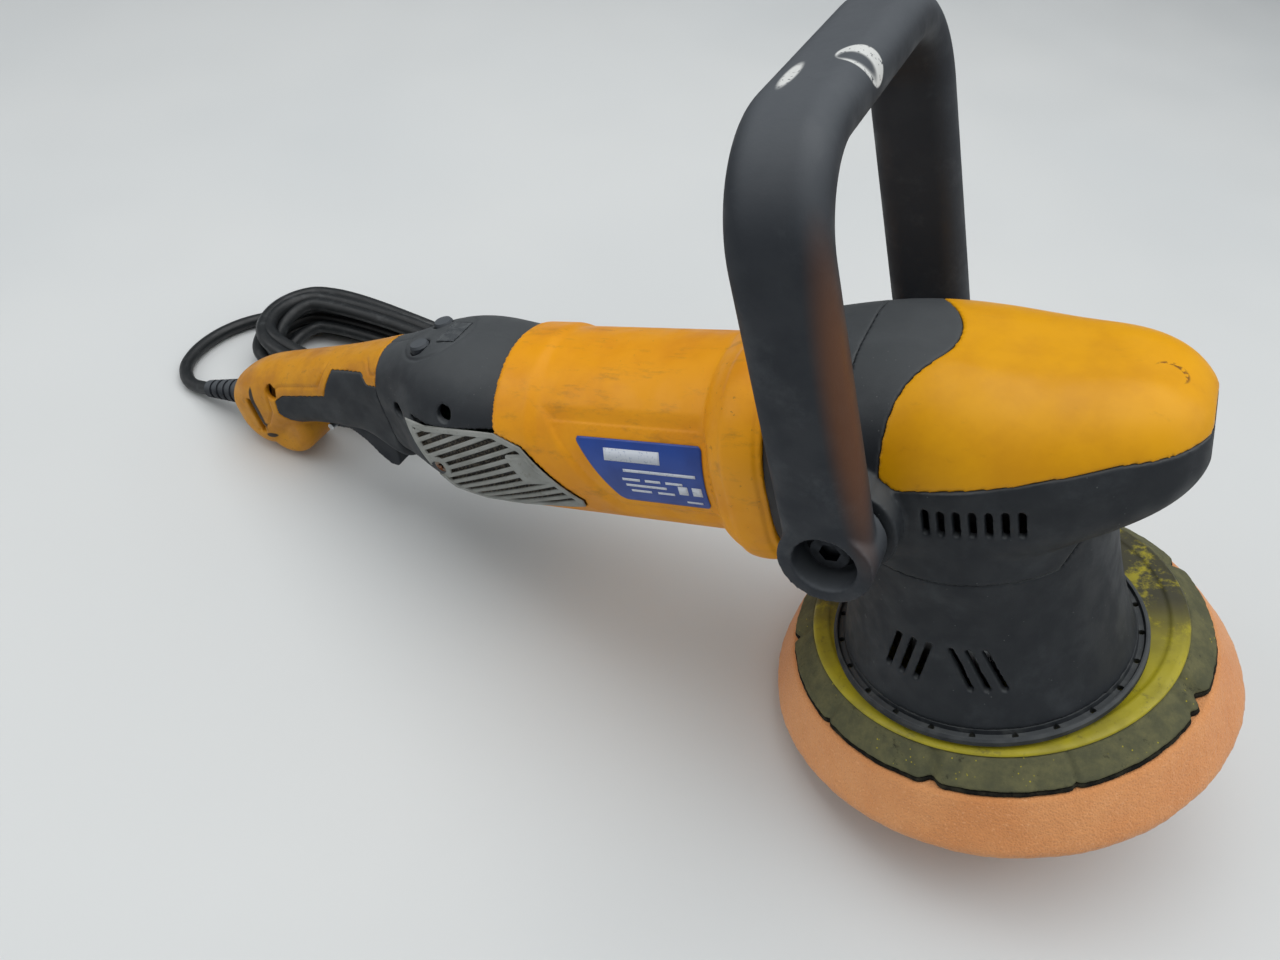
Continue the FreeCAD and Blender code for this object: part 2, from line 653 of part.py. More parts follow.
def bevel_gear():
    root = GEAR_CONE - DEDENDUM * 0.95
    toe = on_gear(TOE - 0.01, root, 0)
    heel = on_gear(HEEL, root, 0)
    body = turned([(8.5, toe.z), (toe.x, toe.z), (heel.x, heel.z), (heel.x - 1.0, heel.z - 3.0),
                   (15, 103), (8.5, 103)])
    half = math.pi / GEAR_TEETH / 2 * 0.80
    teeth = bevel_teeth(GEAR_TEETH, GEAR_CONE, HEEL, TOE, ADDENDUM, DEDENDUM, half,
                        GEAR_TEETH / 2 + 0.5, on_gear)
    return join([body] + teeth)


def pinion():
    cone = math.pi / 2 - GEAR_CONE
    root = cone - DEDENDUM * 0.95
    toe = on_pinion(TOE - 0.01, root, 0)
    heel = on_pinion(HEEL, root, 0)
    body = turned([(0, 0), (MOTOR_AXIS_Z - heel.z, 0),
                   (MOTOR_AXIS_Z - toe.z, toe.x - heel.x), (0, toe.x - heel.x)],
                  (heel.x, 0, MOTOR_AXIS_Z), X_AXIS)
    half = math.pi / PINION_TEETH / 2 * 0.80
    teeth = bevel_teeth(PINION_TEETH, cone, HEEL, TOE, ADDENDUM, DEDENDUM, half, 0, on_pinion)
    return join([body] + teeth)


def spindle():
    return turned([(0, 69), (8.5, 69), (8.5, 128.5), (6.0, 129.0), (6.0, 137.5), (0, 137.5)])


def eccentric():
    """Hub on the spindle that carries the pad's bearings off centre."""
    cup = cyl(20.5, (0, ORBIT_THROW, 46.5), (0, ORBIT_THROW, 75.5))
    hub = cyl(17.0, (0, 0, 62), (0, 0, 75.5))
    body = join([cup, hub])
    body = body.cut(cyl(16.0, (0, ORBIT_THROW, 45), (0, ORBIT_THROW, 68.2)))
    return body.cut(cyl(8.5, (0, 0, 69), (0, 0, 80)))


def counterweight():
    disc = cyl(37.5, (0, 0, 50), (0, 0, 66))
    half = disc.common(box((-40, -40, 45), (40, -5, 70)))
    half = half.cut(cyl(20.5, (0, ORBIT_THROW, 45), (0, ORBIT_THROW, 70)))
    return half.cut(cyl(17.0, (0, 0, 45), (0, 0, 70)))


def pad_shaft():
    body = turned([(0, 28), (4.5, 28), (4.5, 36), (7, 36), (7, 43.5), (9, 43.5), (9, 46.6),
                   (6, 46.6), (6, 68), (0, 68)], (0, ORBIT_THROW, 0))
    return body.cut(cyl(2.5, (0, ORBIT_THROW, 27), (0, ORBIT_THROW, 44)))


def plate_bolt():
    body = turned([(0, 26.6), (8, 26.6), (6, 28.0), (2.5, 28.0), (2.5, 43.5), (0, 43.5)],
                  (0, ORBIT_THROW, 0))
    return body.cut(cyl(2.2, (0, ORBIT_THROW, 26), (0, ORBIT_THROW, 27.6)))


def backing_plate():
    """Lime plastic plate with a raised hub."""
    return turned([(4.5, 28.0), (15, 28.0), (15, PLATE_FOAM_TOP),
                   (PLATE_FOAM_TOP_RADIUS, PLATE_FOAM_TOP),
                   (PLATE_FOAM_TOP_RADIUS, PLATE_FOAM_TOP + 0.9),
                   (PLATE_FOAM_TOP_RADIUS - 1.2, PLATE_FOAM_TOP + PLATE_SKIN),
                   (26, PLATE_FOAM_TOP + PLATE_SKIN), (16, 39.5), (12, 43.4), (7, 43.4), (7, 36),
                   (4.5, 36)], (0, ORBIT_THROW, 0))


def plate_foam():
    bottom = PAD_THICKNESS + HOOK_LAYER
    return turned([(15, bottom), (PLATE_RADIUS - 0.6, bottom), (PLATE_RADIUS, bottom + 0.7),
                   (PLATE_FOAM_TOP_RADIUS + 0.3, PLATE_FOAM_TOP), (15, PLATE_FOAM_TOP)],
                  (0, ORBIT_THROW, 0))


def hook_disc():
    return tube(PLATE_RADIUS, 12.0, (0, ORBIT_THROW, PAD_THICKNESS),
                (0, ORBIT_THROW, PAD_THICKNESS + HOOK_LAYER))


def foam_pad():
    """Soft disc, rounded at the face, with a sloping side."""
    rim = Part.Arc(V(PAD_FACE_RADIUS, 0, 0), V(83.6, 0, 2.1), V(PAD_RADIUS, 0, PAD_EDGE_HEIGHT))
    path = [Part.LineSegment(V(0, 0, 0), V(PAD_FACE_RADIUS, 0, 0)).toShape(), rim.toShape(),
            Part.LineSegment(V(PAD_RADIUS, 0, PAD_EDGE_HEIGHT),
                             V(PLATE_RADIUS + 0.5, 0, PAD_THICKNESS)).toShape(),
            Part.LineSegment(V(PLATE_RADIUS + 0.5, 0, PAD_THICKNESS),
                             V(0, 0, PAD_THICKNESS)).toShape(),
            Part.LineSegment(V(0, 0, PAD_THICKNESS), V(0, 0, 0)).toShape()]
    body = Part.Face(Part.Wire(path)).revolve(V(0, 0, 0), Z_AXIS, 360)
    body.translate(V(0, ORBIT_THROW, 0))
    return body


# ---------------------------------------------------------------------- motor
CORE_FRONT = -92.0
CORE_REAR = -138.0


def on_axis(x):
    return (x, 0, MOTOR_AXIS_Z)


def stator():
    body = tube(MOTOR_BORE - SLIP, 23.4, on_axis(CORE_REAR), on_axis(CORE_FRONT))
    for side in (-1, 1):
        body = body.cut(box((CORE_REAR - 1, side * 33 - 4, 111), (CORE_FRONT + 1, side * 33 + 4, 127)))
    return body


def field_coils():
    return Part.makeCompound([
        tube(31.0, 24.5, on_axis(CORE_REAR - 9), on_axis(CORE_REAR)),
        tube(31.0, 24.5, on_axis(CORE_FRONT), on_axis(CORE_FRONT + 7))])


def armature_shaft():
    body = turned([(0, 0), (4.0, 0), (4.0, 10), (5.0, 10), (5.0, 152.5), (0, 152.5)],
                  on_axis(-180), X_AXIS)
    return body


def armature_core():
    body = tube(22.8, 5.0 + SLIP, on_axis(CORE_REAR), on_axis(CORE_FRONT))
    for i in range(12):
        a = 2 * math.pi * i / 12
        y = 21.0 * math.cos(a)
        z = MOTOR_AXIS_Z + 21.0 * math.sin(a)
        body = body.cut(cyl(2.2, (CORE_REAR - 1, y, z), (CORE_FRONT + 1, y, z)))
    return body


def armature_windings():
    return Part.makeCompound([
        tube(19.5, 7.0, on_axis(CORE_REAR - 9), on_axis(CORE_REAR)),
        tube(19.5, 7.0, on_axis(CORE_FRONT), on_axis(CORE_FRONT + 8))])


def commutator():
    body = tube(11.5, 5.0 + SLIP, on_axis(-163), on_axis(-150))
    for i in range(24):
        slit = box((-164, -0.25, 10.3), (-149, 0.25, 13))
        slit.rotate(V(0, 0, 0), X_AXIS, 15 * i)
        slit.translate(V(0, 0, MOTOR_AXIS_Z))
        body = body.cut(slit)
    return body


def fan():
    """Cooling fan: a hub disc with nine flat blades."""
    disc = tube(29.5, 5.0 + SLIP, on_axis(-76.5), on_axis(-74.5))
    hub = tube(10, 5.0 + SLIP, on_axis(-78), on_axis(-66))
    blades = []
    for i in range(9):
        blade = box((-74.6, -0.8, 9.5), (-66, 0.8, 29))
        blade.rotate(V(0, 0, 0), X_AXIS, 40 * i)
        blade.translate(V(0, 0, MOTOR_AXIS_Z))
        blades.append(blade)
    return join([disc, hub] + blades)


def bearing_bracket():
    """Cross bracket that holds the armature's rear bearing."""
    seat = tube(14, 11, on_axis(-180), on_axis(-172))
    arms = []
    for turn in (45, 135):
        arm = box((-180, -30.5, -3), (-175, 30.5, 3))
        arm.rotate(V(0, 0, 0), X_AXIS, turn)
        arm.translate(V(0, 0, MOTOR_AXIS_Z))
        arms.append(arm)
    body = join([seat] + arms)
    return body.cut(cyl(11, on_axis(-181), on_axis(-171)))


def brush_gear():
    """Brush holders, carbon brushes and springs on both sides."""
    holders = []
    brushes = []
    springs = []
    for side in (-1, 1):
        def block(near, far, x_half, z_half):
            y = sorted((side * near, side * far))
            return box((-156.5 - x_half, y[0], MOTOR_AXIS_Z - z_half),
                       (-156.5 + x_half, y[1], MOTOR_AXIS_Z + z_half))
        holders.append(block(14, 31.8, 5.2, 4.4).cut(block(13, 33, 4.0, 3.2)))
        brushes.append(block(11.8, 23, 3.9, 3.1))
        springs.append(cyl(2.6, (-156.5, side * 23, MOTOR_AXIS_Z),
                           (-156.5, side * 31.5, MOTOR_AXIS_Z)))
    return Part.makeCompound(holders + springs), Part.makeCompound(brushes)


# --------------------------------------------------------- cord, coil and plug
def boot():
    """Tapered ribbed strain relief out of the handle's end."""
    root = HANDLE_REAR + 7
    length = BOOT_LENGTH + 7
    body = turned([(0, 0), (BOOT_RADIUS, 0), (BOOT_RADIUS, 10), (CORD_DIAMETER / 2 + 1.0, length),
                   (0, length)], (root, 0, CORD_EXIT_Z), V(-1, 0, 0))
    for i in range(4):
        x = HANDLE_REAR - 7 - 5 * i
        outer = BOOT_RADIUS - 0.25 - (BOOT_RADIUS - CORD_DIAMETER / 2 - 1.0) * (4 + 5 * i) / 25
        groove = tube(8, outer - 0.7, (x, 0, CORD_EXIT_Z), (x - 1.8, 0, CORD_EXIT_Z))
        body = body.cut(groove)
    return body


def cord_tube(points, label):
    """Tube of straight runs joined by the largest tangent arcs that fit."""
    spots = [V(*p) for p in points]
    runs = [(b - a).Length for a, b in zip(spots, spots[1:])]
    edges = []
    start = spots[0]
    length = 0.0
    for i in range(1, len(spots) - 1):
        back = (spots[i - 1] - spots[i]).normalize()
        ahead = (spots[i + 1] - spots[i]).normalize()
        turn = math.pi - back.getAngle(ahead)
        cut = 0.45 * min(runs[i - 1], runs[i])
        radius = cut / math.tan(turn / 2)
        middle = (back + ahead).normalize()
        crown = spots[i] + middle * (radius / math.cos(turn / 2) - radius)
        first = spots[i] + back * cut
        last = spots[i] + ahead * cut
        edges.append(Part.LineSegment(start, first).toShape())
        edges.append(Part.Arc(first, crown, last).toShape())
        length += (first - start).Length + radius * turn
        start = last
        print(label, "point", i, "radius", round(radius, 1))
    edges.append(Part.LineSegment(start, spots[-1]).toShape())
    length += (spots[-1] - start).Length
    section = Part.Wire(Part.makeCircle(CORD_DIAMETER / 2, spots[0], spots[1] - spots[0]))
    body = Part.Wire(edges).makePipeShell([section], True, False)
    if body.Volume < 0:
        body.reverse()
    print(label, "length", round(length, 1), "volume", round(body.Volume, 1), "section x length",
          round(math.pi * CORD_DIAMETER ** 2 / 4 * length, 1))
    return body


def oblong(radius, bottom, top):
    """Block with round ends about the coil's two centres."""
    a = V(*COIL_LEFT, bottom)
    b = V(*COIL_RIGHT, bottom)
    along = b - a
    block = Part.makeBox(along.Length, 2 * radius, top - bottom, V(0, -radius, 0))
    block.rotate(V(0, 0, 0), Z_AXIS, math.degrees(math.atan2(along.y, along.x)))
    block.translate(a)
    rounds = [Part.makeCylinder(radius, top - bottom, spot) for spot in (a, b)]
    return join([block] + rounds)


def cord_coil():
    """Outer shape of the loose oblong coil of eight turns."""
    shoulder = COIL_TOP - 6.5
    lower = oblong(COIL_OUTER, COIL_BOTTOM, shoulder)
    upper = oblong(COIL_OUTER - 4, shoulder - 1, COIL_TOP)
    hole = oblong(COIL_INNER, COIL_BOTTOM - 1, COIL_TOP + 1)
    return join([lower, upper]).cut(hole)


def plug():
    """Flat mains plug on its side: tapered neck, oval body, two pins."""
    x, y, z = PLUG_ENTRY
    neck = turned([(0, 0), (4.6, 0), (7.6, 22), (0, 22)], (x, y, z), X_AXIS)
    body = Part.makeBox(30, 34, 17, V(x + 20, y - 17, z - 8.5))
    upright = [e for e in body.Edges if abs(e.Length - 17) < 0.01 and e.CenterOfMass.x < x + 30]
    body = body.makeFillet(11, upright)
    body = join([neck, body])
    pins = []
    for side in (-1, 1):
        root = V(x + 50, y + side * 9.5, z)
        pins.append(Part.makeCylinder(2.4, 19, root, X_AXIS))
    return body, Part.makeCompound(pins)


# --------------------------------------------------------------------- nodes
def tool_nodes():
    """Every piece in the tool frame, by node name."""
    nodes = {}
    nodes["head_cover"], nodes["collar"], nodes["nose_cover"] = head_pieces()
    nodes["skirt"] = skirt()
    nodes["vent_ring"] = vent_ring()
    nodes["motor_housing"] = motor_housing()
    nodes["label_plate"] = label_plate()
    nodes["rear_housing"] = rear_housing()
    nodes["handle_left"], nodes["handle_right"], nodes["handle_cover"] = handle_pieces()
    for name, side in (("left", 1), ("right", -1)):
        nodes["grille_" + name] = grille(side)
    nodes["grille_filters"] = Part.makeCompound([grille_filter(-1), grille_filter(1)])
    nodes["grille_screws"] = Part.makeCompound([
        screw((GRILLE_SCREW[0], side * 32.3, GRILLE_SCREW[1]), (0, side, 0), 3.2, 1.8, 1.5, 8)
        for side in (-1, 1)])
    nodes["display_lens"] = display_lens()
    nodes["button_slower"] = speed_button(-1)
    nodes["button_faster"] = speed_button(1)
    nodes["speed_board"] = Part.makeCompound([speed_board(), display_module()])
    nodes["switch_module"] = switch_module()
    nodes["cable_clamp"] = cable_clamp()
    nodes["housing_screws"] = recess_screws()
    nodes["trigger"] = trigger()
    nodes["trigger_pin"] = trigger_pin()
    nodes["d_handle"] = d_handle()
    nodes["handle_bolts"] = Part.makeCompound(handle_bolts().Solids + handle_washers().Solids)
    nodes["gear_case"] = gear_case()
    nodes["bevel_gear"] = bevel_gear()
    nodes["pinion"] = pinion()
    nodes["spindle"] = spindle()
    nodes["eccentric"] = eccentric()
    nodes["counterweight"] = counterweight()
    nodes["pad_shaft"] = pad_shaft()
    nodes["plate_bolt"] = plate_bolt()
    nodes["backing_plate"] = backing_plate()
    nodes["plate_foam"] = plate_foam()
    nodes["hook_disc"] = hook_disc()
    nodes["foam_pad"] = foam_pad()
    nodes["stator"] = stator()
    nodes["field_coils"] = field_coils()
    nodes["armature_shaft"] = armature_shaft()
    nodes["armature_core"] = armature_core()
    nodes["armature_windings"] = armature_windings()
    nodes["commutator"] = commutator()
    nodes["fan"] = fan()
    nodes["bearing_bracket"] = bearing_bracket()
    nodes["brush_holders"], nodes["brushes"] = brush_gear()
    nodes.update(bearing_nodes())
    nodes["boot"] = boot()
    return nodes


def bearing_nodes():
    """Ball bearings of the spindle, the pad's shaft and the armature."""
    sets = {
        "spindle_bearing": [((0, 0, 84), (0, 0, 1), 8.5, 20.0, 12, 9),
                            ((0, 0, 134), (0, 0, 1), 6.0, 11.0, 7, 9)],
        "pad_bearing": [((0, ORBIT_THROW, 52), (0, 0, 1), 6.0, 16.0, 10, 8),
                        ((0, ORBIT_THROW, 63), (0, 0, 1), 6.0, 16.0, 10, 8)],
        "armature_bearing": [((-46.5, 0, MOTOR_AXIS_Z), (1, 0, 0), 5.0, 13.0, 9, 8),
                             ((-176, 0, MOTOR_AXIS_Z), (1, 0, 0), 4.0, 11.0, 7, 8)],
    }
    nodes = {}
    for name, places in sets.items():
        outers, inners, balls = [], [], []
        for center, axis, r_in, r_out, width, count in places:
            outer, inner, spheres = ball_bearing(center, axis, r_in, r_out, width, count)
            outers.append(outer)
            inners.append(inner)
            balls += spheres
        nodes[name + "_races"] = Part.makeCompound(outers + balls)
        nodes[name + "_inners"] = Part.makeCompound(inners)
    return nodes


# -------------------------------------------------------- standing on the table
def leaned(shape, lean):
    copy = shape.copy()
    copy.rotate(V(0, 0, 0), Y_AXIS, -lean)
    return copy


def resting_lean(pad, knob):
    """Lean angle at which the pad's rim and the handle's knob touch the table."""
    low, high = 10.0, 30.0
    for _ in range(24):
        lean = (low + high) / 2
        pad_low = leaned(pad, lean).optimalBoundingBox(False, False).ZMin
        knob_low = leaned(knob, lean).optimalBoundingBox(False, False).ZMin
        if knob_low > pad_low:
            low = lean
        else:
            high = lean
    return lean


def build():
    os.makedirs("parts", exist_ok=True)
    nodes = tool_nodes()
    lean = resting_lean(nodes["foam_pad"], nodes["handle_cover"])
    placed = {name: leaned(shape, lean) for name, shape in nodes.items()}
    span = Part.makeCompound([s for n, s in placed.items() if n != "boot"])
    size = span.optimalBoundingBox(False, False)
    shift = V(-(size.XMin + size.XMax) / 2, -(size.YMin + size.YMax) / 2, -size.ZMin)
    print("lean", lean, "shift", shift.x, shift.y, shift.z)
    for shape in placed.values():
        shape.translate(shift)
    placed["cord_lead"] = cord_tube(CORD_LEAD, "lead")
    placed["cord_tail"] = cord_tube(CORD_TAIL, "tail")
    placed["cord_coil"] = cord_coil()
    placed["plug_body"], placed["plug_pins"] = plug()
    for name, shape in placed.items():
        shape.exportStep("parts/" + name + ".step")
    print(len(placed), "nodes")


build()
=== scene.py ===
import json
import math

import bmesh
import bpy
import numpy as np
from mathutils import Matrix, Vector

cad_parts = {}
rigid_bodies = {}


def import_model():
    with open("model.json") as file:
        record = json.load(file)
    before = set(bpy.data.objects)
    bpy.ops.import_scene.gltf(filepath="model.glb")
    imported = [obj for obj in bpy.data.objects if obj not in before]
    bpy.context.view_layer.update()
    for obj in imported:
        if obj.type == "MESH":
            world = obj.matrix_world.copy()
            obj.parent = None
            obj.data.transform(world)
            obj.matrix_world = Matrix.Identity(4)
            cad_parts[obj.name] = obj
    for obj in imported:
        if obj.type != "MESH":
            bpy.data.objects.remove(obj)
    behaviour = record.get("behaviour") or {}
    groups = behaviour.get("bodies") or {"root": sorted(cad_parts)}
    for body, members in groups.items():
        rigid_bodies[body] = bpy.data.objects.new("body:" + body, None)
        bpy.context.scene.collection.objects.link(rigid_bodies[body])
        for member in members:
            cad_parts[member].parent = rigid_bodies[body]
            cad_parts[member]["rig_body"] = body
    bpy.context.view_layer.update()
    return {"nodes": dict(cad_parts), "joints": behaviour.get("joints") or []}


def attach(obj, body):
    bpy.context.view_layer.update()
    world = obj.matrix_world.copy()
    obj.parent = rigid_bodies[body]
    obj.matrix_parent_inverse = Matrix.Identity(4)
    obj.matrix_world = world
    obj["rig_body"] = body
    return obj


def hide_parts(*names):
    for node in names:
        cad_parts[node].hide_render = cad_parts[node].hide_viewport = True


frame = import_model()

# Looks of a dual action polisher. Shapes are worked out in the tool's own frame, in
# millimetres: +X to the nose, +Z up the drive axis, the origin on that axis in the plane
# of the pad's face. TOOL takes that frame to the row frame, in metres.
MM = 0.001
SPIN = next(joint for joint in frame["joints"] if joint["name"] == "drive_spin")
UP = Vector(SPIN["axis"]).normalized()
ACROSS = Vector((0, 1, 0))
AHEAD = ACROSS.cross(UP)
TOOL = Matrix.Translation(Vector(SPIN["pos_m"])) @ Matrix((AHEAD, ACROSS, UP)).transposed().to_4x4()

PAD_CENTRE = (0.0, 10.5)
MOTOR_AXIS_Z = 119.0
MOTOR_RADIUS = 35.6
CORD_DIAMETER = 6.4
NODES = frame["nodes"]
# Turned aside like this, no flat face of the tool lies along the remeshing grid.
TILT = Matrix.Rotation(math.radians(31), 4, Vector((1, 2, 3)))


# ------------------------------------------------------------------ materials
def tone(red, green, blue):
    """Linear colour of an sRGB one, given as 0 to 255."""
    parts = [c / 255 for c in (red, green, blue)]
    return tuple(c / 12.92 if c <= 0.04045 else ((c + 0.055) / 1.055) ** 2.4 for c in parts) + (1.0,)


class Finish:
    """A node material. Its patterns are measured in millimetres of the tool frame."""

    def __init__(self, name, **shader):
        self.material = bpy.data.materials.new(name)
        self.material.use_nodes = True
        self.tree = self.material.node_tree
        self.shader = self.tree.nodes["Principled BSDF"]
        mapping = self.node("Mapping", vector_type="TEXTURE")
        mapping.inputs["Location"].default_value = TOOL.to_translation()
        mapping.inputs["Rotation"].default_value = TOOL.to_euler()
        self.feed(mapping.inputs["Vector"], self.node("TexCoord").outputs["Object"])
        self.place = mapping.outputs["Vector"]
        self.normal = None
        for socket, value in shader.items():
            self.shader.inputs[socket.replace("_", " ")].default_value = value

    def node(self, kind, **settings):
        made = self.tree.nodes.new("ShaderNode" + kind)
        for name, value in settings.items():
            setattr(made, name, value)
        return made

    def feed(self, socket, value):
        """Links an output, or sets a plain value."""
        if isinstance(value, bpy.types.NodeSocket):
            self.tree.links.new(value, socket)
        else:
            socket.default_value = value

    def spot(self, stretch=(1, 1, 1), shift=(0, 0, 0)):
        """Place in millimetres, stretched and shifted."""
        mapping = self.node("Mapping")
        self.feed(mapping.inputs["Vector"], self.place)
        mapping.inputs["Scale"].default_value = [1000 * s for s in stretch]
        mapping.inputs["Location"].default_value = shift
        return mapping.outputs["Vector"]

    def noise(self, size, detail=3.0, stretch=(1, 1, 1), shift=(0, 0, 0), rough=0.5):
        """Cloudy pattern with features of about that size in millimetres."""
        made = self.node("TexNoise")
        self.feed(made.inputs["Vector"], self.spot(stretch, shift))
        made.inputs["Scale"].default_value = 1.0 / size
        made.inputs["Detail"].default_value = detail
        made.inputs["Roughness"].default_value = rough
        return made.outputs["Fac"]

    def cells(self, size):
        """Distance from the nearest of many scattered points, about that far apart."""
        made = self.node("TexVoronoi")
        self.feed(made.inputs["Vector"], self.spot())
        made.inputs["Scale"].default_value = 1.0 / size
        return made.outputs["Distance"]

    def axis(self, name):
        """Coordinate along one axis of the tool frame, in millimetres."""
        split = self.node("SeparateXYZ")
        self.feed(split.inputs["Vector"], self.spot())
        return split.outputs[name]

    def upward(self):
        """How far the surface faces up, where dust settles and a painted sheen from the light above goes.
        """
        split = self.node("SeparateXYZ")
        self.feed(split.inputs["Vector"], self.node("NewGeometry").outputs["Normal"])
        return split.outputs["Z"]

    def calc(self, operation, first, second=0.0):
        made = self.node("Math", operation=operation)
        self.feed(made.inputs[0], first)
        self.feed(made.inputs[1], second)
        return made.outputs[0]

    def band(self, value, low, high, start=0.0, end=1.0):
        """Runs smoothly from start to end as value goes from low to high."""
        made = self.node("MapRange", interpolation_type="SMOOTHSTEP")
        self.feed(made.inputs["Value"], value)
        made.inputs["From Min"].default_value = low
        made.inputs["From Max"].default_value = high
        made.inputs["To Min"].default_value = start
        made.inputs["To Max"].default_value = end
        return made.outputs["Result"]

    def near(self, centre, reach, soft, stretch=(1, 1, 1)):
        """1 within reach millimetres of a point, fading over the soft width."""
        made = self.node("VectorMath", operation="DISTANCE")
        shift = [-c * s for c, s in zip(centre, stretch)]
        self.feed(made.inputs[0], self.spot(stretch, shift))
        return self.band(made.outputs["Value"], reach, reach + soft, 1.0, 0.0)

    def mix(self, share, first, second):
        """Colour that goes from the first to the second as share goes from 0 to 1."""
        made = self.node("Mix", data_type="RGBA")
        self.feed(made.inputs["Factor"], share)
        self.feed(made.inputs["A"], first)
        self.feed(made.inputs["B"], second)
        return made.outputs["Result"]

    def bump(self, height, depth, strength):
        """Adds relief of that depth in millimetres."""
        made = self.node("Bump")
        self.feed(made.inputs["Height"], height)
        made.inputs["Distance"].default_value = depth * MM
        made.inputs["Strength"].default_value = strength
        if self.normal is not None:
            self.feed(made.inputs["Normal"], self.normal)
        self.normal = made.outputs["Normal"]

    def done(self, color, roughness=None):
        self.feed(self.shader.inputs["Base Color"], color)
        if roughness is not None:
            self.feed(self.shader.inputs["Roughness"], roughness)
        if self.normal is not None:
            self.feed(self.shader.inputs["Normal"], self.normal)
        return self.material


def edge_wear(finish):
    """Share of rubbed edge, from the surface's own curvature, broken up by noise."""
    pointed = finish.node("NewGeometry").outputs["Pointiness"]
    broken = finish.band(finish.noise(6.0, 4), 0.4, 0.6)
    return finish.calc("MULTIPLY", finish.band(pointed, 0.52, 0.6), broken)


def hollow_shade(finish, share):
    """Share of painted shade in the surface's hollows."""
    pointed = finish.node("NewGeometry").outputs["Pointiness"]
    return finish.band(pointed, 0.42, 0.49, share, 0.0)


def dark_plastic():
    """Blue grey moulded plastic: fine texture, pale dust and lint, rubbed edges, and faces that look up
    made paler with settled dust and a painted sheen.
    """
    f = Finish("dark_plastic", Specular_IOR_Level=0.35)
    grain = f.noise(0.45, 2)
    dust = f.band(f.noise(22.0, 6, rough=0.65), 0.45, 0.75, 0.0, 0.55)
    specks = f.band(f.cells(2.6), 0.05, 0.11, 0.5, 0.0)
    keep = f.band(f.noise(14.0, 2, shift=(40, 0, 0)), 0.5, 0.62)
    color = f.mix(dust, tone(35, 39, 44), tone(64, 68, 72))
    # Faces that look up turn paler: settled dust together with a painted sheen from the light above.
    dust_and_sheen = f.band(f.upward(), 0.45, 0.98, 0.0, 0.55)
    color = f.mix(dust_and_sheen, color, tone(90, 94, 96))
    color = f.mix(f.calc("MULTIPLY", specks, keep), color, tone(112, 115, 114))
    color = f.mix(f.calc("MULTIPLY", edge_wear(f), 0.35), color, tone(104, 107, 106))
    f.bump(grain, 0.06, 0.6)
    f.bump(f.noise(3.0, 3), 0.08, 0.3)
    return f.done(color, f.band(f.noise(9.0, 4), 0.3, 0.7, 0.52, 0.7))


def rubber(name, base, marks=None):
    """Soft dark plastic, dusty in patches, with settled dust and a painted sheen where it faces up, with
    marks on top if given.
    """
    f = Finish(name, Specular_IOR_Level=0.3)
    dust = f.band(f.noise(18.0, 6, rough=0.7), 0.5, 0.8, 0.0, 0.5)
    color = f.mix(dust, tone(*base), tone(78, 82, 86))
    # Faces that look up turn paler: settled dust together with a painted sheen from the light above.
    dust_and_sheen = f.band(f.upward(), 0.2, 0.95, 0.0, 0.6)
    color = f.mix(dust_and_sheen, color, tone(98, 103, 108))
    if marks:
        color = marks(f, color)
    f.bump(f.noise(0.6, 2), 0.05, 0.6)
    return f.done(color, f.band(f.noise(11.0, 4), 0.3, 0.7, 0.5, 0.75))


def handle_marks(f, color):
    """Two white scuffs on the D-handle's grip, and a browned edge on its left leg."""
    rubbed = f.near((-14.0, -65.0, 178.0), 2.0, 6.0, (1, 0.8, 0.12))
    color = f.mix(f.calc("MULTIPLY", rubbed, 0.7), color, tone(112, 70, 40))
    crescent = f.calc("MULTIPLY", f.near((-18.0, -13.5, 247.5), 6.6, 0.5),
                      f.calc("SUBTRACT", 1.0, f.near((-20.5, -15.5, 245.0), 6.6, 0.6)))
    streak = f.near((-31.2, -26.5, 251.5), 0.9, 0.7, (0.7, 0.16, 0.4))
    chalk = f.band(f.noise(1.2, 4), 0.3, 0.42)
    scuffs = f.calc("MULTIPLY", f.calc("MAXIMUM", crescent, streak), chalk)
    return f.mix(scuffs, color, tone(214, 216, 214))


def yellow_nose():
    """Soft touch yellow of the nose, with faint smudges and one small brown scuff."""
    f = Finish("yellow_nose", Specular_IOR_Level=0.28)
    cloud = f.band(f.noise(26.0, 5, rough=0.6), 0.35, 0.7)
    color = f.mix(cloud, tone(233, 166, 6), tone(219, 152, 10))
    smudge = f.band(f.noise(9.0, 6, stretch=(1, 2.5, 1), rough=0.7), 0.6, 0.78, 0.0, 0.3)
    color = f.mix(smudge, color, tone(172, 116, 24))
    ring = f.calc("MULTIPLY", f.near((56.0, -3.4, 153.4), 4.2, 0.8, (1, 1, 0.6)),
                 f.calc("SUBTRACT", 1.0, f.near((55.0, -4.8, 152.6), 4.4, 0.7, (1, 1, 0.6))))
    scuff = f.calc("MULTIPLY", ring, f.band(f.noise(1.8, 3), 0.42, 0.52))
    color = f.mix(scuff, color, tone(136, 84, 24))
    f.bump(f.noise(0.5, 2), 0.03, 0.5)
    f.bump(f.noise(30.0, 2), 0.3, 0.25)
    return f.done(color, f.band(f.noise(12.0, 5), 0.3, 0.75, 0.36, 0.52))


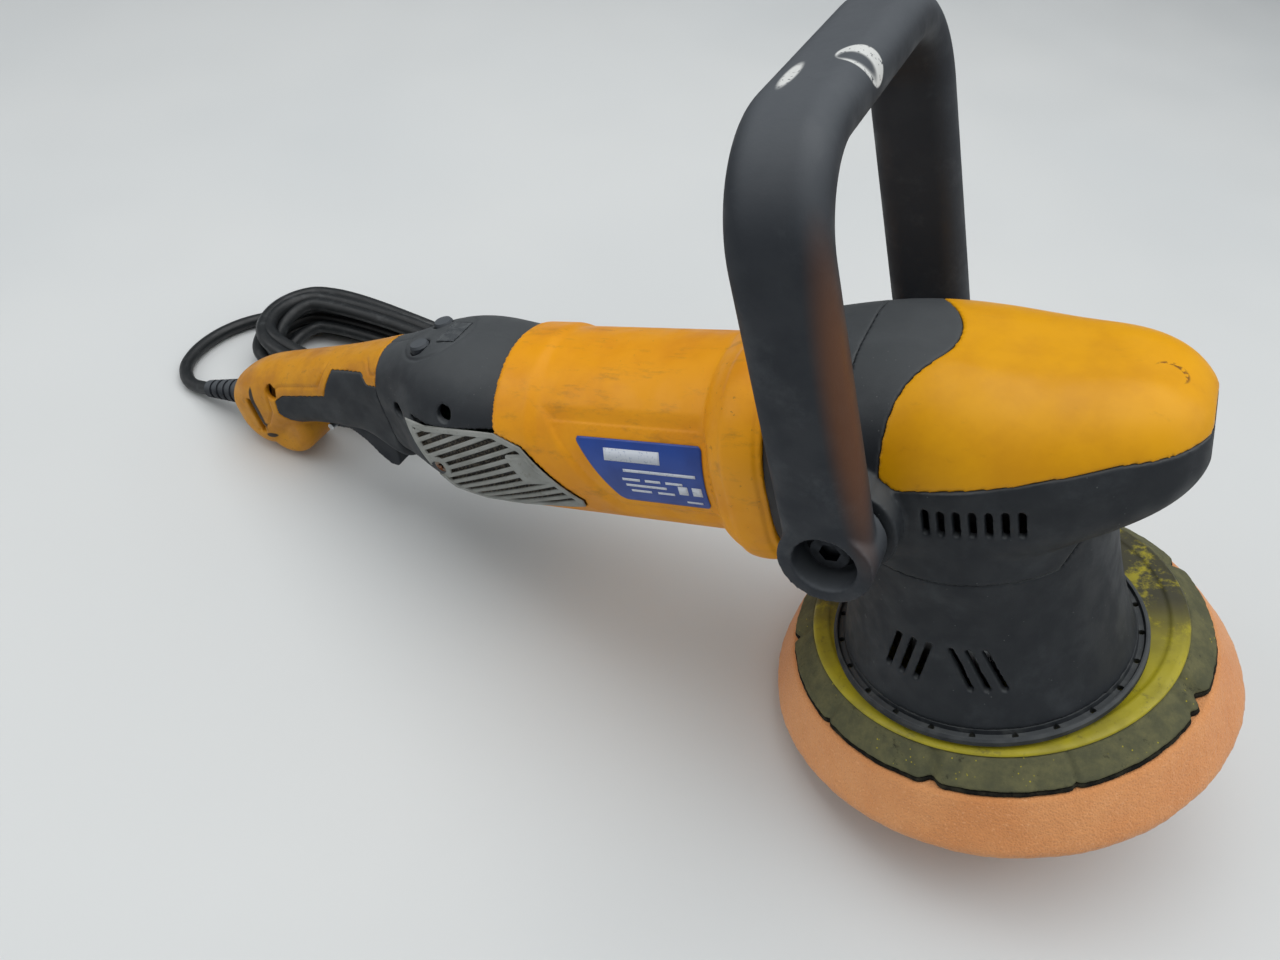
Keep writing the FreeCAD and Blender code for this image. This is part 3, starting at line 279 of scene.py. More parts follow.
def amber_shell():
    """Orange yellow of the motor shell, with grime in streaks and painted shade in its hollows."""
    f = Finish("amber_shell", Specular_IOR_Level=0.3)
    cloud = f.band(f.noise(30.0, 5, rough=0.6), 0.35, 0.7)
    color = f.mix(cloud, tone(240, 162, 16), tone(226, 146, 20))
    streak = f.band(f.noise(10.0, 6, stretch=(0.45, 1.6, 1.0), rough=0.72), 0.52, 0.76, 0.0, 0.55)
    color = f.mix(streak, color, tone(150, 104, 44))
    grime = f.band(f.noise(2.4, 5, rough=0.75), 0.62, 0.72, 0.0, 0.6)
    where = f.band(f.noise(40.0, 2, shift=(10, 5, 0)), 0.5, 0.6)
    color = f.mix(f.calc("MULTIPLY", grime, where), color, tone(92, 66, 34))
    # Painted shade: the hollows are darkened with a darker copy of the shell's yellow.
    color = f.mix(hollow_shade(f, 0.55), color, tone(110, 74, 26))
    f.bump(f.noise(0.5, 2), 0.03, 0.5)
    return f.done(color, f.band(f.noise(8.0, 5), 0.3, 0.75, 0.38, 0.6))


def ochre_cover():
    """Duller yellow of the handle's cover, browned by hands, with painted shade in its hollows and a slot
    painted dark at its end.
    """
    f = Finish("ochre_cover", Specular_IOR_Level=0.3)
    cloud = f.band(f.noise(16.0, 6, rough=0.65), 0.35, 0.7)
    color = f.mix(cloud, tone(210, 145, 24), tone(184, 120, 26))
    grime = f.band(f.noise(3.0, 6, rough=0.75), 0.56, 0.72, 0.0, 0.6)
    color = f.mix(grime, color, tone(132, 92, 42))
    # Painted shade: the hollows are darkened with a darker copy of the cover's yellow.
    color = f.mix(hollow_shade(f, 0.6), color, tone(90, 62, 24))
    # Painted shade: a dark slit stands for the shaded inside of the slot at the handle's end; the drop
    # below it is painted in the same dark.
    slit_shade = f.near((-315.0, -14.2, 121.2), 1.1, 0.5, (0.8, 0.6, 0.11))
    drop = f.near((-314.8, -14.6, 106.0), 1.2, 0.6, (0.5, 0.6, 0.9))
    color = f.mix(f.calc("MAXIMUM", slit_shade, drop), color, tone(40, 32, 24))
    f.bump(f.noise(0.5, 2), 0.03, 0.5)
    return f.done(color, f.band(f.noise(7.0, 5), 0.3, 0.75, 0.42, 0.62))


def pad_foam():
    """Apricot foam, cut and open celled."""
    f = Finish("pad_foam", Roughness=0.95, Specular_IOR_Level=0.12, Sheen_Weight=0.25,
               Sheen_Roughness=0.6)
    cloud = f.band(f.noise(24.0, 5), 0.35, 0.7)
    color = f.mix(cloud, tone(231, 162, 104), tone(221, 148, 90))
    pores = f.band(f.cells(0.75), 0.05, 0.32, 0.55, 0.0)
    color = f.mix(pores, color, tone(176, 100, 58))
    fine = f.band(f.noise(0.9, 4), 0.55, 0.75, 0.0, 0.5)
    color = f.mix(fine, color, tone(250, 190, 140))
    f.bump(f.cells(0.75), 0.35, 0.7)
    f.bump(f.noise(2.5, 4), 0.4, 0.5)
    return f.done(color)


def worn_foam():
    """Green grey foam of the backing plate, smeared with old polish."""
    f = Finish("worn_foam", Roughness=0.85, Specular_IOR_Level=0.2)
    cloud = f.band(f.noise(8.0, 6, rough=0.7), 0.35, 0.7)
    color = f.mix(cloud, tone(88, 89, 68), tone(112, 110, 78))
    flecks = f.band(f.cells(2.2), 0.06, 0.16, 0.9, 0.0)
    keep = f.band(f.noise(9.0, 3, shift=(7, 3, 1)), 0.5, 0.6)
    color = f.mix(f.calc("MULTIPLY", flecks, keep), color, tone(196, 184, 40))
    dark = f.band(f.noise(5.0, 6, rough=0.8), 0.58, 0.7, 0.0, 0.8)
    color = f.mix(dark, color, tone(46, 46, 38))
    f.bump(f.noise(0.8, 4), 0.3, 0.6)
    return f.done(color)


def lime_ring():
    """Yellow green plate, smeared dark on its right and rear side."""
    f = Finish("lime_ring", Specular_IOR_Level=0.4)
    cloud = f.band(f.noise(12.0, 5), 0.35, 0.7)
    color = f.mix(cloud, tone(180, 168, 38), tone(158, 148, 44))
    side = f.band(f.calc("ADD", f.axis("Y"), f.calc("MULTIPLY", f.axis("X"), -0.15)), -12.0, 22.0)
    smear = f.band(f.noise(11.0, 6, rough=0.7), 0.36, 0.5)
    color = f.mix(f.calc("MULTIPLY", side, smear), color, tone(70, 68, 50))
    film = f.band(f.noise(5.0, 6, stretch=(1, 1, 3), rough=0.75), 0.55, 0.7, 0.0, 0.6)
    color = f.mix(film, color, tone(104, 100, 46))
    f.bump(f.noise(1.5, 4), 0.08, 0.5)
    return f.done(color, f.band(f.noise(6.0, 4), 0.3, 0.7, 0.35, 0.6))


def hook_black():
    """Black hook fabric that holds the pad."""
    f = Finish("hook_black", Roughness=0.95, Specular_IOR_Level=0.1)
    color = f.mix(f.band(f.noise(4.0, 5), 0.4, 0.7), tone(30, 30, 28), tone(58, 56, 46))
    f.bump(f.cells(0.6), 0.4, 0.8)
    return f.done(color)


def name_plate():
    """Blue printed film, a little rubbed."""
    f = Finish("name_plate", Specular_IOR_Level=0.5, Coat_Weight=0.2, Coat_Roughness=0.3)
    color = f.mix(f.band(f.noise(14.0, 5), 0.35, 0.7), tone(24, 68, 156), tone(18, 56, 136))
    rub = f.band(f.noise(1.6, 6, rough=0.8), 0.66, 0.74, 0.0, 0.45)
    color = f.mix(rub, color, tone(120, 142, 186))
    f.bump(f.noise(4.0, 2), 0.03, 0.4)
    return f.done(color, f.band(f.noise(7.0, 4), 0.3, 0.7, 0.3, 0.45))


def print_pale():
    """Pale print of the name plate, worn through in places."""
    f = Finish("print_pale", Specular_IOR_Level=0.4)
    gaps = f.band(f.noise(0.9, 4, rough=0.7), 0.56, 0.66, 0.0, 0.5)
    color = f.mix(gaps, tone(214, 220, 230), tone(92, 118, 170))
    return f.done(color, f.band(f.noise(5.0, 3), 0.3, 0.7, 0.35, 0.5))


def grille_grey():
    """Grey plastic of the grilles, dirty, with slot floors painted dark: the dark mesh behind the slots
    together with painted shade inside them.
    """
    f = Finish("grille_grey", Specular_IOR_Level=0.35)
    color = f.mix(f.band(f.noise(10.0, 5), 0.35, 0.7), tone(150, 152, 148), tone(134, 136, 131))
    grime = f.band(f.noise(3.0, 6, rough=0.75), 0.55, 0.7, 0.0, 0.6)
    color = f.mix(grime, color, tone(112, 108, 94))
    # Painted shade: below the bars' face the slot floors take a dark, dusty colour, standing for the shaded
    # inside of open slots and the dark mesh behind them.
    slot = f.near((0, 0, MOTOR_AXIS_Z), 35.3, 0.6, (0, 1, 1))
    dust = f.band(f.noise(1.1, 3), 0.45, 0.6)
    color = f.mix(slot, color, f.mix(dust, tone(26, 22, 18), tone(84, 76, 64)))
    f.bump(f.noise(0.5, 2), 0.05, 0.5)
    return f.done(color, f.band(f.noise(6.0, 4), 0.3, 0.7, 0.45, 0.65))


def metal(name, base, stained=None, roughness=(0.25, 0.42)):
    """Bare metal of that colour, with stains of another one if given."""
    f = Finish(name, Metallic=1.0)
    color = f.mix(f.band(f.noise(5.0, 5), 0.35, 0.7), tone(*base), tone(*[int(0.8 * c) for c in base]))
    if stained:
        color = f.mix(f.band(f.noise(1.4, 5, rough=0.7), 0.42, 0.58), color, tone(*stained))
    f.bump(f.noise(0.35, 2, stretch=(1, 1, 6)), 0.02, 0.5)
    return f.done(color, f.band(f.noise(2.5, 4), 0.3, 0.7, *roughness))


def plain(name, base):
    """Moulded or pressed part inside the machine, with slight mottling."""
    f = Finish(name)
    color = f.mix(f.band(f.noise(6.0, 4), 0.35, 0.7), tone(*base), tone(*[int(0.82 * c) for c in base]))
    f.bump(f.noise(0.5, 2), 0.04, 0.5)
    return f.done(color, f.band(f.noise(6.0, 4), 0.3, 0.7, 0.45, 0.65))


def winding():
    """Copper wire in even turns."""
    f = Finish("copper_winding", Metallic=0.9)
    wave = f.node("TexWave", wave_type="BANDS", bands_direction="X")
    f.feed(wave.inputs["Vector"], f.spot())
    wave.inputs["Scale"].default_value = 0.45
    wave.inputs["Distortion"].default_value = 1.5
    color = f.mix(wave.outputs["Fac"], tone(150, 82, 38), tone(206, 128, 70))
    f.bump(wave.outputs["Fac"], 0.3, 0.8)
    return f.done(color, f.band(f.noise(3.0, 3), 0.3, 0.7, 0.28, 0.42))


def mesh_filter():
    """Fine dust mesh: dark, with a regular weave."""
    f = Finish("mesh_filter", Metallic=0.4)
    waves = []
    for direction in ("X", "Z"):
        wave = f.node("TexWave", wave_type="BANDS", bands_direction=direction)
        f.feed(wave.inputs["Vector"], f.spot())
        wave.inputs["Scale"].default_value = 0.5
        waves.append(wave.outputs["Fac"])
    weave = f.calc("MAXIMUM", *waves)
    color = f.mix(weave, tone(18, 18, 18), tone(96, 92, 82))
    f.bump(weave, 0.25, 0.8)
    return f.done(color, f.band(f.noise(4.0, 3), 0.3, 0.7, 0.5, 0.7))


def glass_lens():
    """Scratched grey window of the speed display."""
    f = Finish("display_window", Specular_IOR_Level=0.6, Coat_Weight=0.5, Coat_Roughness=0.15)
    color = f.mix(f.band(f.noise(3.0, 5), 0.4, 0.65), tone(58, 62, 66), tone(84, 88, 90))
    scratch = f.band(f.noise(0.7, 3, stretch=(0.2, 2.0, 1.0)), 0.62, 0.7, 0.0, 0.5)
    color = f.mix(scratch, color, tone(122, 126, 128))
    return f.done(color, f.band(f.noise(2.0, 4), 0.3, 0.7, 0.25, 0.45))


def cord_rubber():
    """Black round flex: satin, with chalky rub marks along it."""
    f = Finish("cord_rubber", Specular_IOR_Level=0.4)
    rub = f.band(f.noise(7.0, 6, rough=0.7), 0.52, 0.72, 0.0, 0.4)
    color = f.mix(rub, tone(33, 36, 38), tone(82, 86, 88))
    f.bump(f.noise(1.2, 4), 0.08, 0.4)
    return f.done(color, f.band(f.noise(5.0, 4), 0.3, 0.7, 0.35, 0.55))


def floor_paper():
    """Pale paper, with painted shade darkening it far behind the tool."""
    f = Finish("floor_paper", Specular_IOR_Level=0.3)
    color = f.mix(f.band(f.noise(300.0, 2), 0.35, 0.7), tone(219, 222, 222), tone(213, 217, 218))
    # Painted shade: the paper turns darker away from the tool, as if less light reached it there.
    away = f.near((0, 0, 0), 380.0, 1500.0)
    color = f.mix(away, tone(146, 150, 153), color)
    f.bump(f.noise(1.4, 3), 0.02, 0.3)
    return f.done(color, f.band(f.noise(80.0, 3), 0.3, 0.7, 0.45, 0.6))


DARK = dark_plastic()
RUBBER = rubber("rubber_grip", (36, 40, 46))
AMBER = amber_shell()
GRIP = rubber("d_handle_rubber", (44, 48, 54), handle_marks)

NODE_FINISHES = {
    DARK: ["vent_ring", "cable_clamp", "switch_module", "brush_holders", "commutator"],
    RUBBER: ["button_slower", "button_faster", "boot", "plug_body"],
    plain("fan_plastic", (120, 118, 110)): ["fan"],
    mesh_filter(): ["grille_filters"],
    metal("rusty_steel", (150, 140, 128), (112, 66, 38), (0.4, 0.7)): ["grille_screws"],
    glass_lens(): ["display_lens"],
    plain("circuit_board", (34, 92, 52)): ["speed_board"],
    metal("bright_steel", (196, 198, 200)): [
        "housing_screws", "trigger_pin", "bevel_gear", "pinion", "spindle", "counterweight", "pad_shaft",
        "plate_bolt", "armature_shaft", "spindle_bearing_races", "spindle_bearing_inners",
        "pad_bearing_races", "pad_bearing_inners", "armature_bearing_races", "armature_bearing_inners"],
    metal("dark_bolt", (52, 54, 58), roughness=(0.4, 0.6)): ["handle_bolts"],
    metal("lamination", (112, 110, 108), (84, 70, 60)): ["armature_core", "stator"],
    metal("cast_aluminium", (176, 178, 180), roughness=(0.4, 0.6)): ["gear_case", "eccentric",
                                                                     "bearing_bracket"],
    winding(): ["field_coils", "armature_windings"],
    metal("brass_pins", (206, 178, 112)): ["plug_pins"],
    plain("carbon_brush", (34, 34, 34)): ["brushes"],
}
for finish, names in NODE_FINISHES.items():
    for name in names:
        NODES[name].data.materials.clear()
        NODES[name].data.materials.append(finish)


# ------------------------------------------------------------- camera, lights
# The eye, what it looks along and its right side, in the tool frame.
EYE = Vector((71.516, -274.335, 333.497))
EYE_AHEAD = Vector((-0.483, 0.655, -0.581))
EYE_RIGHT = Vector((0.870, 0.431, -0.237))
FOCAL_LENGTH = 29.67
SENSOR_WIDTH = 36.0
NEAREST_SEEN = 0.01

# Place, aim and size in metres, and power in watts.
LAMPS = {
    "ceiling_light": ((0.1, 0.2, 1.7), (0.0, 0.0, 0.0), (2.2, 1.8), 23),
    "left_light": ((-1.3, -0.6, 1.1), (0.0, 0.0, 0.1), (1.2, 1.2), 6.5),
    "right_light": ((1.5, 0.3, 1.2), (0.0, 0.0, 0.1), (1.2, 1.2), 5),
}
SKY_STRENGTH = 0.35

# The paper lies flat from in front of the tool to the bend, then curves up; in metres.
PAPER_FRONT = -3.0
PAPER_BEND = 1.6
PAPER_RADIUS = 0.7
PAPER_TOP = 2.4
PAPER_HALF_WIDTH = 3.5
PAPER_DROP = 0.0002
PAPER_AWAY = Vector((-0.59, 0.80, 0)).normalized()
BEND_STEPS = 16


def add_camera():
    """Looks down on the tool from its front left."""
    right = (EYE_RIGHT - EYE_AHEAD * EYE_RIGHT.dot(EYE_AHEAD)).normalized()
    top = right.cross(EYE_AHEAD).normalized()
    turn = TOOL.to_3x3() @ Matrix((right, top, -EYE_AHEAD.normalized())).transposed()
    lens = bpy.data.cameras.new("camera")
    lens.lens = FOCAL_LENGTH
    lens.sensor_width = SENSOR_WIDTH
    lens.clip_start = NEAREST_SEEN
    camera = bpy.data.objects.new("camera", lens)
    bpy.context.scene.collection.objects.link(camera)
    camera.matrix_world = Matrix.Translation(TOOL @ (EYE * MM)) @ turn.to_4x4()
    bpy.context.scene.camera = camera


def add_light(name, place, aim, size, power):
    light = bpy.data.lights.new(name, "AREA")
    light.shape = "RECTANGLE"
    light.size, light.size_y = size
    light.energy = power
    lamp = bpy.data.objects.new(name, light)
    bpy.context.scene.collection.objects.link(lamp)
    lamp.location = place
    lamp.rotation_euler = (Vector(aim) - Vector(place)).to_track_quat("-Z", "Y").to_euler()


def add_studio():
    """Pale sweep of paper that curves up far behind, wide soft lights above."""
    profile = [(PAPER_FRONT, 0.0), (PAPER_BEND, 0.0)]
    for i in range(1, BEND_STEPS + 1):
        turn = math.pi / 2 * i / BEND_STEPS
        profile.append((PAPER_BEND + PAPER_RADIUS * math.sin(turn), PAPER_RADIUS * (1 - math.cos(turn))))
    profile.append((PAPER_BEND + PAPER_RADIUS, PAPER_TOP))
    side = Vector((PAPER_AWAY.y, -PAPER_AWAY.x, 0))
    rows = [PAPER_AWAY * d + Vector((0, 0, z - PAPER_DROP)) for d, z in profile]
    verts = [p + side * s for p in rows for s in (-PAPER_HALF_WIDTH, PAPER_HALF_WIDTH)]
    faces = [(2 * i, 2 * i + 1, 2 * i + 3, 2 * i + 2) for i in range(len(rows) - 1)]
    mesh = bpy.data.meshes.new("paper_sweep")
    mesh.from_pydata(verts, [], faces)
    for polygon in mesh.polygons:
        polygon.use_smooth = True
    paper = bpy.data.objects.new("paper_sweep", mesh)
    bpy.context.scene.collection.objects.link(paper)
    mesh.materials.append(floor_paper())
    for name, settings in LAMPS.items():
        add_light(name, *settings)
    world = bpy.data.worlds.new("studio")
    world.use_nodes = True
    world.node_tree.nodes["Background"].inputs["Color"].default_value = tone(236, 238, 240)
    world.node_tree.nodes["Background"].inputs["Strength"].default_value = SKY_STRENGTH
    bpy.context.scene.world = world
    bpy.context.scene.view_settings.view_transform = "Standard"


# ------------------------------------------------------------------------ cord
# Centre line of the cord in the row frame, in millimetres, from the boot to the coil and from
# the coil to the plug.
CORD_LEAD = [(-241.0, -10.5, 7.5), (-249.4, -10.5, 4.2), (-257.5, -9.0, 3.3),
             (-265.5, -2.5, 3.3), (-269.5, 7.5, 3.3), (-270.5, 19.5, 3.3), (-268.5, 32.5, 3.3),
             (-263.0, 45.0, 3.3), (-254.0, 56.0, 3.4), (-242.0, 64.5, 3.6), (-228.0, 69.5, 3.6)]
CORD_TAIL = [(-166.0, 75.0, 19.0), (-154.0, 79.0, 14.5), (-142.0, 80.5, 10.0), (-130.0, 79.5, 9.0),
             (-118.0, 78.0, 9.0)]
COIL_LEFT = Vector((-214.0, 41.5, 0))
COIL_RIGHT = Vector((-150.0, 44.0, 0))
COIL_INNER = 19.6
COIL_OUTER = 31.8
COIL_START = math.radians(114)
COIL_TURNS = 8.06
TURNS_PER_LAYER = 2
POINTS_PER_TURN = 20
COIL_LOWEST = 3.4
COIL_HIGHEST = 22.4
LAYER_RISE = 6.3
CLIMB_START = 0.85
OBLONG = 1.6


def coil_point(turn):
    """Place on the loose oblong coil after that many turns, clockwise from above.
    Each layer winds inwards, and the next one outwards on top of it."""
    layer = turn / TURNS_PER_LAYER
    outward = abs(1 - layer % 2)
    radius = COIL_INNER + (COIL_OUTER - COIL_INNER) * outward + 0.5 * math.sin(5.3 * turn)
    step = max(0.0, (layer % 1 - CLIMB_START) / (1 - CLIMB_START))
    height = COIL_LOWEST + LAYER_RISE * (math.floor(layer) + step * step * (3 - 2 * step))
    middle = (COIL_LEFT + COIL_RIGHT) / 2
    along = (COIL_RIGHT - COIL_LEFT).normalized()
    aside = Vector((-along.y, along.x, 0))
    reach = (COIL_RIGHT - COIL_LEFT).length / 2 + 2.2 * math.sin(2.1 * turn + 0.7)
    angle = COIL_START - 2 * math.pi * turn
    stretch = reach * max(-1.0, min(1.0, OBLONG * math.cos(angle)))
    place = middle + along * (stretch + radius * math.cos(angle)) + aside * radius * math.sin(angle)
    place.z = min(height, COIL_HIGHEST)
    return place


def route_points():
    """Centre line of the whole cord, from the boot to the plug."""
    points = [Vector(p) for p in CORD_LEAD]
    count = int(COIL_TURNS * POINTS_PER_TURN)
    for i in range(1, count):
        points.append(coil_point(COIL_TURNS * i / count))
    return points + [Vector(p) for p in CORD_TAIL]


def add_cord():
    curve = bpy.data.curves.new("cord", "CURVE")
    curve.dimensions = "3D"
    curve.bevel_depth = CORD_DIAMETER / 2 * MM
    curve.bevel_resolution = 5
    curve.resolution_u = 5
    curve.use_fill_caps = True
    spline = curve.splines.new("NURBS")
    points = route_points()
    spline.points.add(len(points) - 1)
    for point, place in zip(spline.points, points):
        point.co = (*(place * MM), 1.0)
    spline.order_u = 3
    spline.use_endpoint_u = True
    cord = bpy.data.objects.new("cord", curve)
    bpy.context.scene.collection.objects.link(cord)
    curve.materials.append(cord_rubber())
    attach(cord, "housing")
    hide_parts("cord_lead", "cord_coil", "cord_tail")


# --------------------------------------------------------------- mesh helpers
def piece(name, mesh, finish, body, slot, *stands_for):
    """Shows a mesh that is measured in metres of the tool frame."""
    mesh.transform(TOOL)
    made = bpy.data.objects.new(name, mesh)
    bpy.context.scene.collection.objects.link(made)
    mesh.materials.clear()
    mesh.materials.append(finish)
    mesh.polygons.foreach_set("use_smooth", [True] * len(mesh.polygons))
    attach(made, body)
    if stands_for:
        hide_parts(*stands_for)
    return made


def corners(mesh):
    """The mesh's vertices in millimetres, one row each."""
    flat = np.empty(len(mesh.vertices) * 3)
    mesh.vertices.foreach_get("co", flat)
    return flat.reshape(-1, 3) / MM


def place_corners(mesh, spots):
    """Moves the mesh's vertices there, in millimetres."""
    mesh.vertices.foreach_set("co", (spots * MM).ravel())
    mesh.update()


def normals(mesh):
    """The direction that each of the mesh's vertices faces."""
    flat = np.empty(len(mesh.vertices) * 3)
    mesh.vertices.foreach_get("normal", flat)
    return flat.reshape(-1, 3)


def with_modifier(mesh, kind, **settings):
    """A new mesh, as one modifier leaves the given one."""
    holder = bpy.data.objects.new("holder", mesh)
    bpy.context.scene.collection.objects.link(holder)
    modifier = holder.modifiers.new("step", kind)
    for name, value in settings.items():
        setattr(modifier, name, value)
    graph = bpy.context.evaluated_depsgraph_get()
    made = bpy.data.meshes.new_from_object(holder.evaluated_get(graph))
    bpy.data.objects.remove(holder)
    return made


def soften(low, high, value):
    """0 below low, 1 above high, smooth between them."""
    t = np.clip((value - low) / (high - low), 0, 1)
    return t * t * (3 - 2 * t)


def inside(points, outline):
    """Distance of (n, 2) points inside a closed outline, negative outside it."""
    count = len(outline)
    nearest = np.full(len(points), 1e9)
    crossings = np.zeros(len(points), dtype=bool)
    for i in range(count):
        a = np.array(outline[i], float)
        b = np.array(outline[(i + 1) % count], float)
        run = b - a
        t = np.clip(((points - a) @ run) / (run @ run), 0, 1)
        nearest = np.minimum(nearest, np.hypot(*(points - a - t[:, None] * run).T))
        if a[1] != b[1]:
            over = (a[1] > points[:, 1]) != (b[1] > points[:, 1])
            crossings ^= over & (points[:, 0] < a[0] + run[0] * (points[:, 1] - a[1]) / run[1])
    return np.where(crossings, nearest, -nearest)


def groove(distance, width):
    """1 on a line, falling to 0 at the width on both sides of it."""
    return 1 - soften(0.25 * width, width, np.abs(distance))


def moulded(node, finish, slot, voxel, rounds, relief=None):
    """A CAD piece remeshed finely, its edges eased as moulding leaves them, and its
    surface raised or sunk along its normals by relief(spots, normals), in millimetres."""
    mesh = NODES[node].data.copy()
    mesh.transform(TILT @ TOOL.inverted())
    mesh = with_modifier(mesh, "REMESH", mode="VOXEL", voxel_size=voxel * MM)
    mesh.transform(TILT.inverted())
    if relief:
        spots = corners(mesh)
        facing = normals(mesh)
        place_corners(mesh, spots + facing * relief(spots, facing)[:, None])
    mesh = with_modifier(mesh, "SMOOTH", factor=0.5, iterations=rounds)
    piece(node + "_shell", mesh, finish, NODES[node]["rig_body"], slot, node)


def grid_mesh(name, rows, closed=True):
    """Quads through rows of points in millimetres; each row closes on itself."""
    height, width = len(rows), len(rows[0])
    spots = np.array(rows, float).reshape(-1, 3) * MM
    faces = []
    for i in range(height - 1):
        for j in range(width if closed else width - 1):
            k = (j + 1) % width
            faces.append((i * width + j, i * width + k, (i + 1) * width + k, (i + 1) * width + j))
    mesh = bpy.data.meshes.new(name)
    mesh.from_pydata([tuple(p) for p in spots], [], faces)
    return mesh


WAVES = ((1.0, 0.6, 0.3), (-0.7, 1.1, 0.5), (0.4, -0.8, 1.3), (1.7, 1.3, -0.9))


def ripple(x, y, z, size, seed=0.0):
    """Smooth unevenness between -1 and 1, from a few crossed waves."""
    total = 0
    for k, (a, b, c) in enumerate(WAVES):
        total = total + np.sin((a * x + b * y + c * z) * 6.28 / size + seed + 1.7 * k)
    return total / len(WAVES)


def turned_ring(name, profile, segments, shape=None):
    """Closed ring or disc turned about the pad's axis: profile is (radius, height) from the
    underside's middle round to the top's middle; shape(radius, angle, height) moves it."""
    rows = []
    angles = np.linspace(0, 2 * math.pi, segments, endpoint=False)
    for radius, height in profile:
        r = np.full(segments, float(radius))
        z = np.full(segments, float(height))
        if shape:
            r, z = shape(r, angles, z)
        x = PAD_CENTRE[0] + r * np.cos(angles)
        y = PAD_CENTRE[1] + r * np.sin(angles)
        rows.append(np.stack([x, y, z], 1))
    return grid_mesh(name, rows)


def filled(points, spacing):
    """The outline with more points on it, no further apart than the spacing."""
    made = []
    for (r0, z0), (r1, z1) in zip(points, points[1:]):
        count = max(1, math.ceil(math.hypot(r1 - r0, z1 - z0) / spacing))
        made += [(r0 + (r1 - r0) * i / count, z0 + (z1 - z0) * i / count) for i in range(count)]
    return made + [points[-1]]


# ------------------------------------------------------------- pad and plate
# Outlines turned about the pad's axis, as (radius, height), from the underside's middle round.
PAD_PROFILE = [(12, 0.2), (74, 0.2), (77.5, 0.5), (80.4, 1.3), (82.8, 2.7), (84.4, 4.6), (85.1, 6.7),
               (84.7, 8.6), (83.6, 11.0), (81.8, 14.4), (79.9, 18.0), (78.0, 21.4), (76.6, 23.6),
               (75.4, 24.4), (73, 24.45), (12, 24.45), (12, 0.2)]


def pad_shape(r, angle, z):
    """Cut foam is never true: the side swells and dips a little all round."""
    x, y = r * np.cos(angle), r * np.sin(angle)
    side = soften(70, 80, r)
    swell = 0.35 * ripple(x, y, z, 55) + 0.16 * ripple(x, y, z, 9, 2.0) + 0.1 * ripple(x, y, z, 3.1, 4.0)
    return r + side * (swell - 0.3), z


def add_pad():
    mesh = turned_ring("foam_pad_soft", filled(PAD_PROFILE, 1.1), 620, pad_shape)
    pad = piece("foam_pad_soft", mesh, pad_foam(), "pad", "foam", "foam_pad")


CONE_PROFILE = [(16, 26.6), (74.2, 26.6), (74.9, 27.3), (72.2, 29.8), (69.3, 32.4), (67.2, 34.1),
                (16, 34.1), (16, 26.6)]
HOOK_PROFILE = [(13, 24.55), (74.9, 24.55), (75.3, 25.5), (74.9, 26.5), (13, 26.5), (13, 24.55)]
LIME_PROFILE = [(5, 28), (14.8, 28), (14.8, 34.25), (66.0, 34.25), (66.4, 34.7), (66.0, 35.3),
                (64.6, 35.8), (60.5, 36.0), (59.6, 35.5), (26, 35.6), (16, 39.5), (12, 43.3),
                (7, 43.3), (7, 36), (5, 36), (5, 28)]
# Angle in degrees, depth and width in millimetres of each nick in the cone's edge.
NICKS = [(-94, 2.6, 3.2), (-162, 2.2, 2.2), (-14, 3.4, 3.8), (-20, 1.4, 2.2), (-58, 1.2, 1.5),
         (-128, 1.2, 1.6), (38, 2.4, 3.0), (120, 2.8, 2.6), (176, 1.5, 2.0)]


def cone_shape(r, angle, z):
    """Worn edge of the backing foam, with nicks torn into it at odd angles."""
    x, y = r * np.cos(angle), r * np.sin(angle)
    r = r + soften(40, 60, r) * (0.25 * ripple(x, y, z, 16) + 0.15 * ripple(x, y, z, 4.3, 1.0) - 0.3)
    for turn, depth, width in NICKS:
        away = (angle - math.radians(turn) + math.pi) % (2 * math.pi) - math.pi
        bite = np.exp(-((away * 72 / width * 1.4) ** 2))
        r = r - depth * bite * soften(60, 68, r)
    return r, z


def add_plate():
    mesh = turned_ring("worn_foam_cone", filled(CONE_PROFILE, 0.9), 560, cone_shape)
    piece("worn_foam_cone", mesh, worn_foam(), "pad", "foam", "plate_foam")
    mesh = turned_ring("hook_layer", filled(HOOK_PROFILE, 0.9), 480, cone_shape)
    piece("hook_layer", mesh, hook_black(), "pad", "foam", "hook_disc")
    mesh = turned_ring("lime_plate", filled(LIME_PROFILE, 1.0), 360)
    piece("lime_plate", mesh, lime_ring(), "pad", "lime_plastic", "backing_plate")


# --------------------------------------------------------------- motor shell
# Outlines in the (x, z) plane of the tool frame: the recess for the name plate, and the
# sloping frame round it.
PANEL_OUTLINE = [(-140.5, 139.0), (-78.0, 139.0), (-77.5, 107.5), (-116.5, 107.5)]
PANEL_DEPTH = 0.9
BEVEL_OUTLINE = [(-146.0, 144.5), (-80.0, 144.5), (-74.5, 138.0), (-73.5, 101.0), (-119.0, 101.0)]
BEVEL_DEPTH = 1.1
REAR_BAND_HEIGHT = 1.3
FLANGE_RIDGE_HEIGHT = 0.7

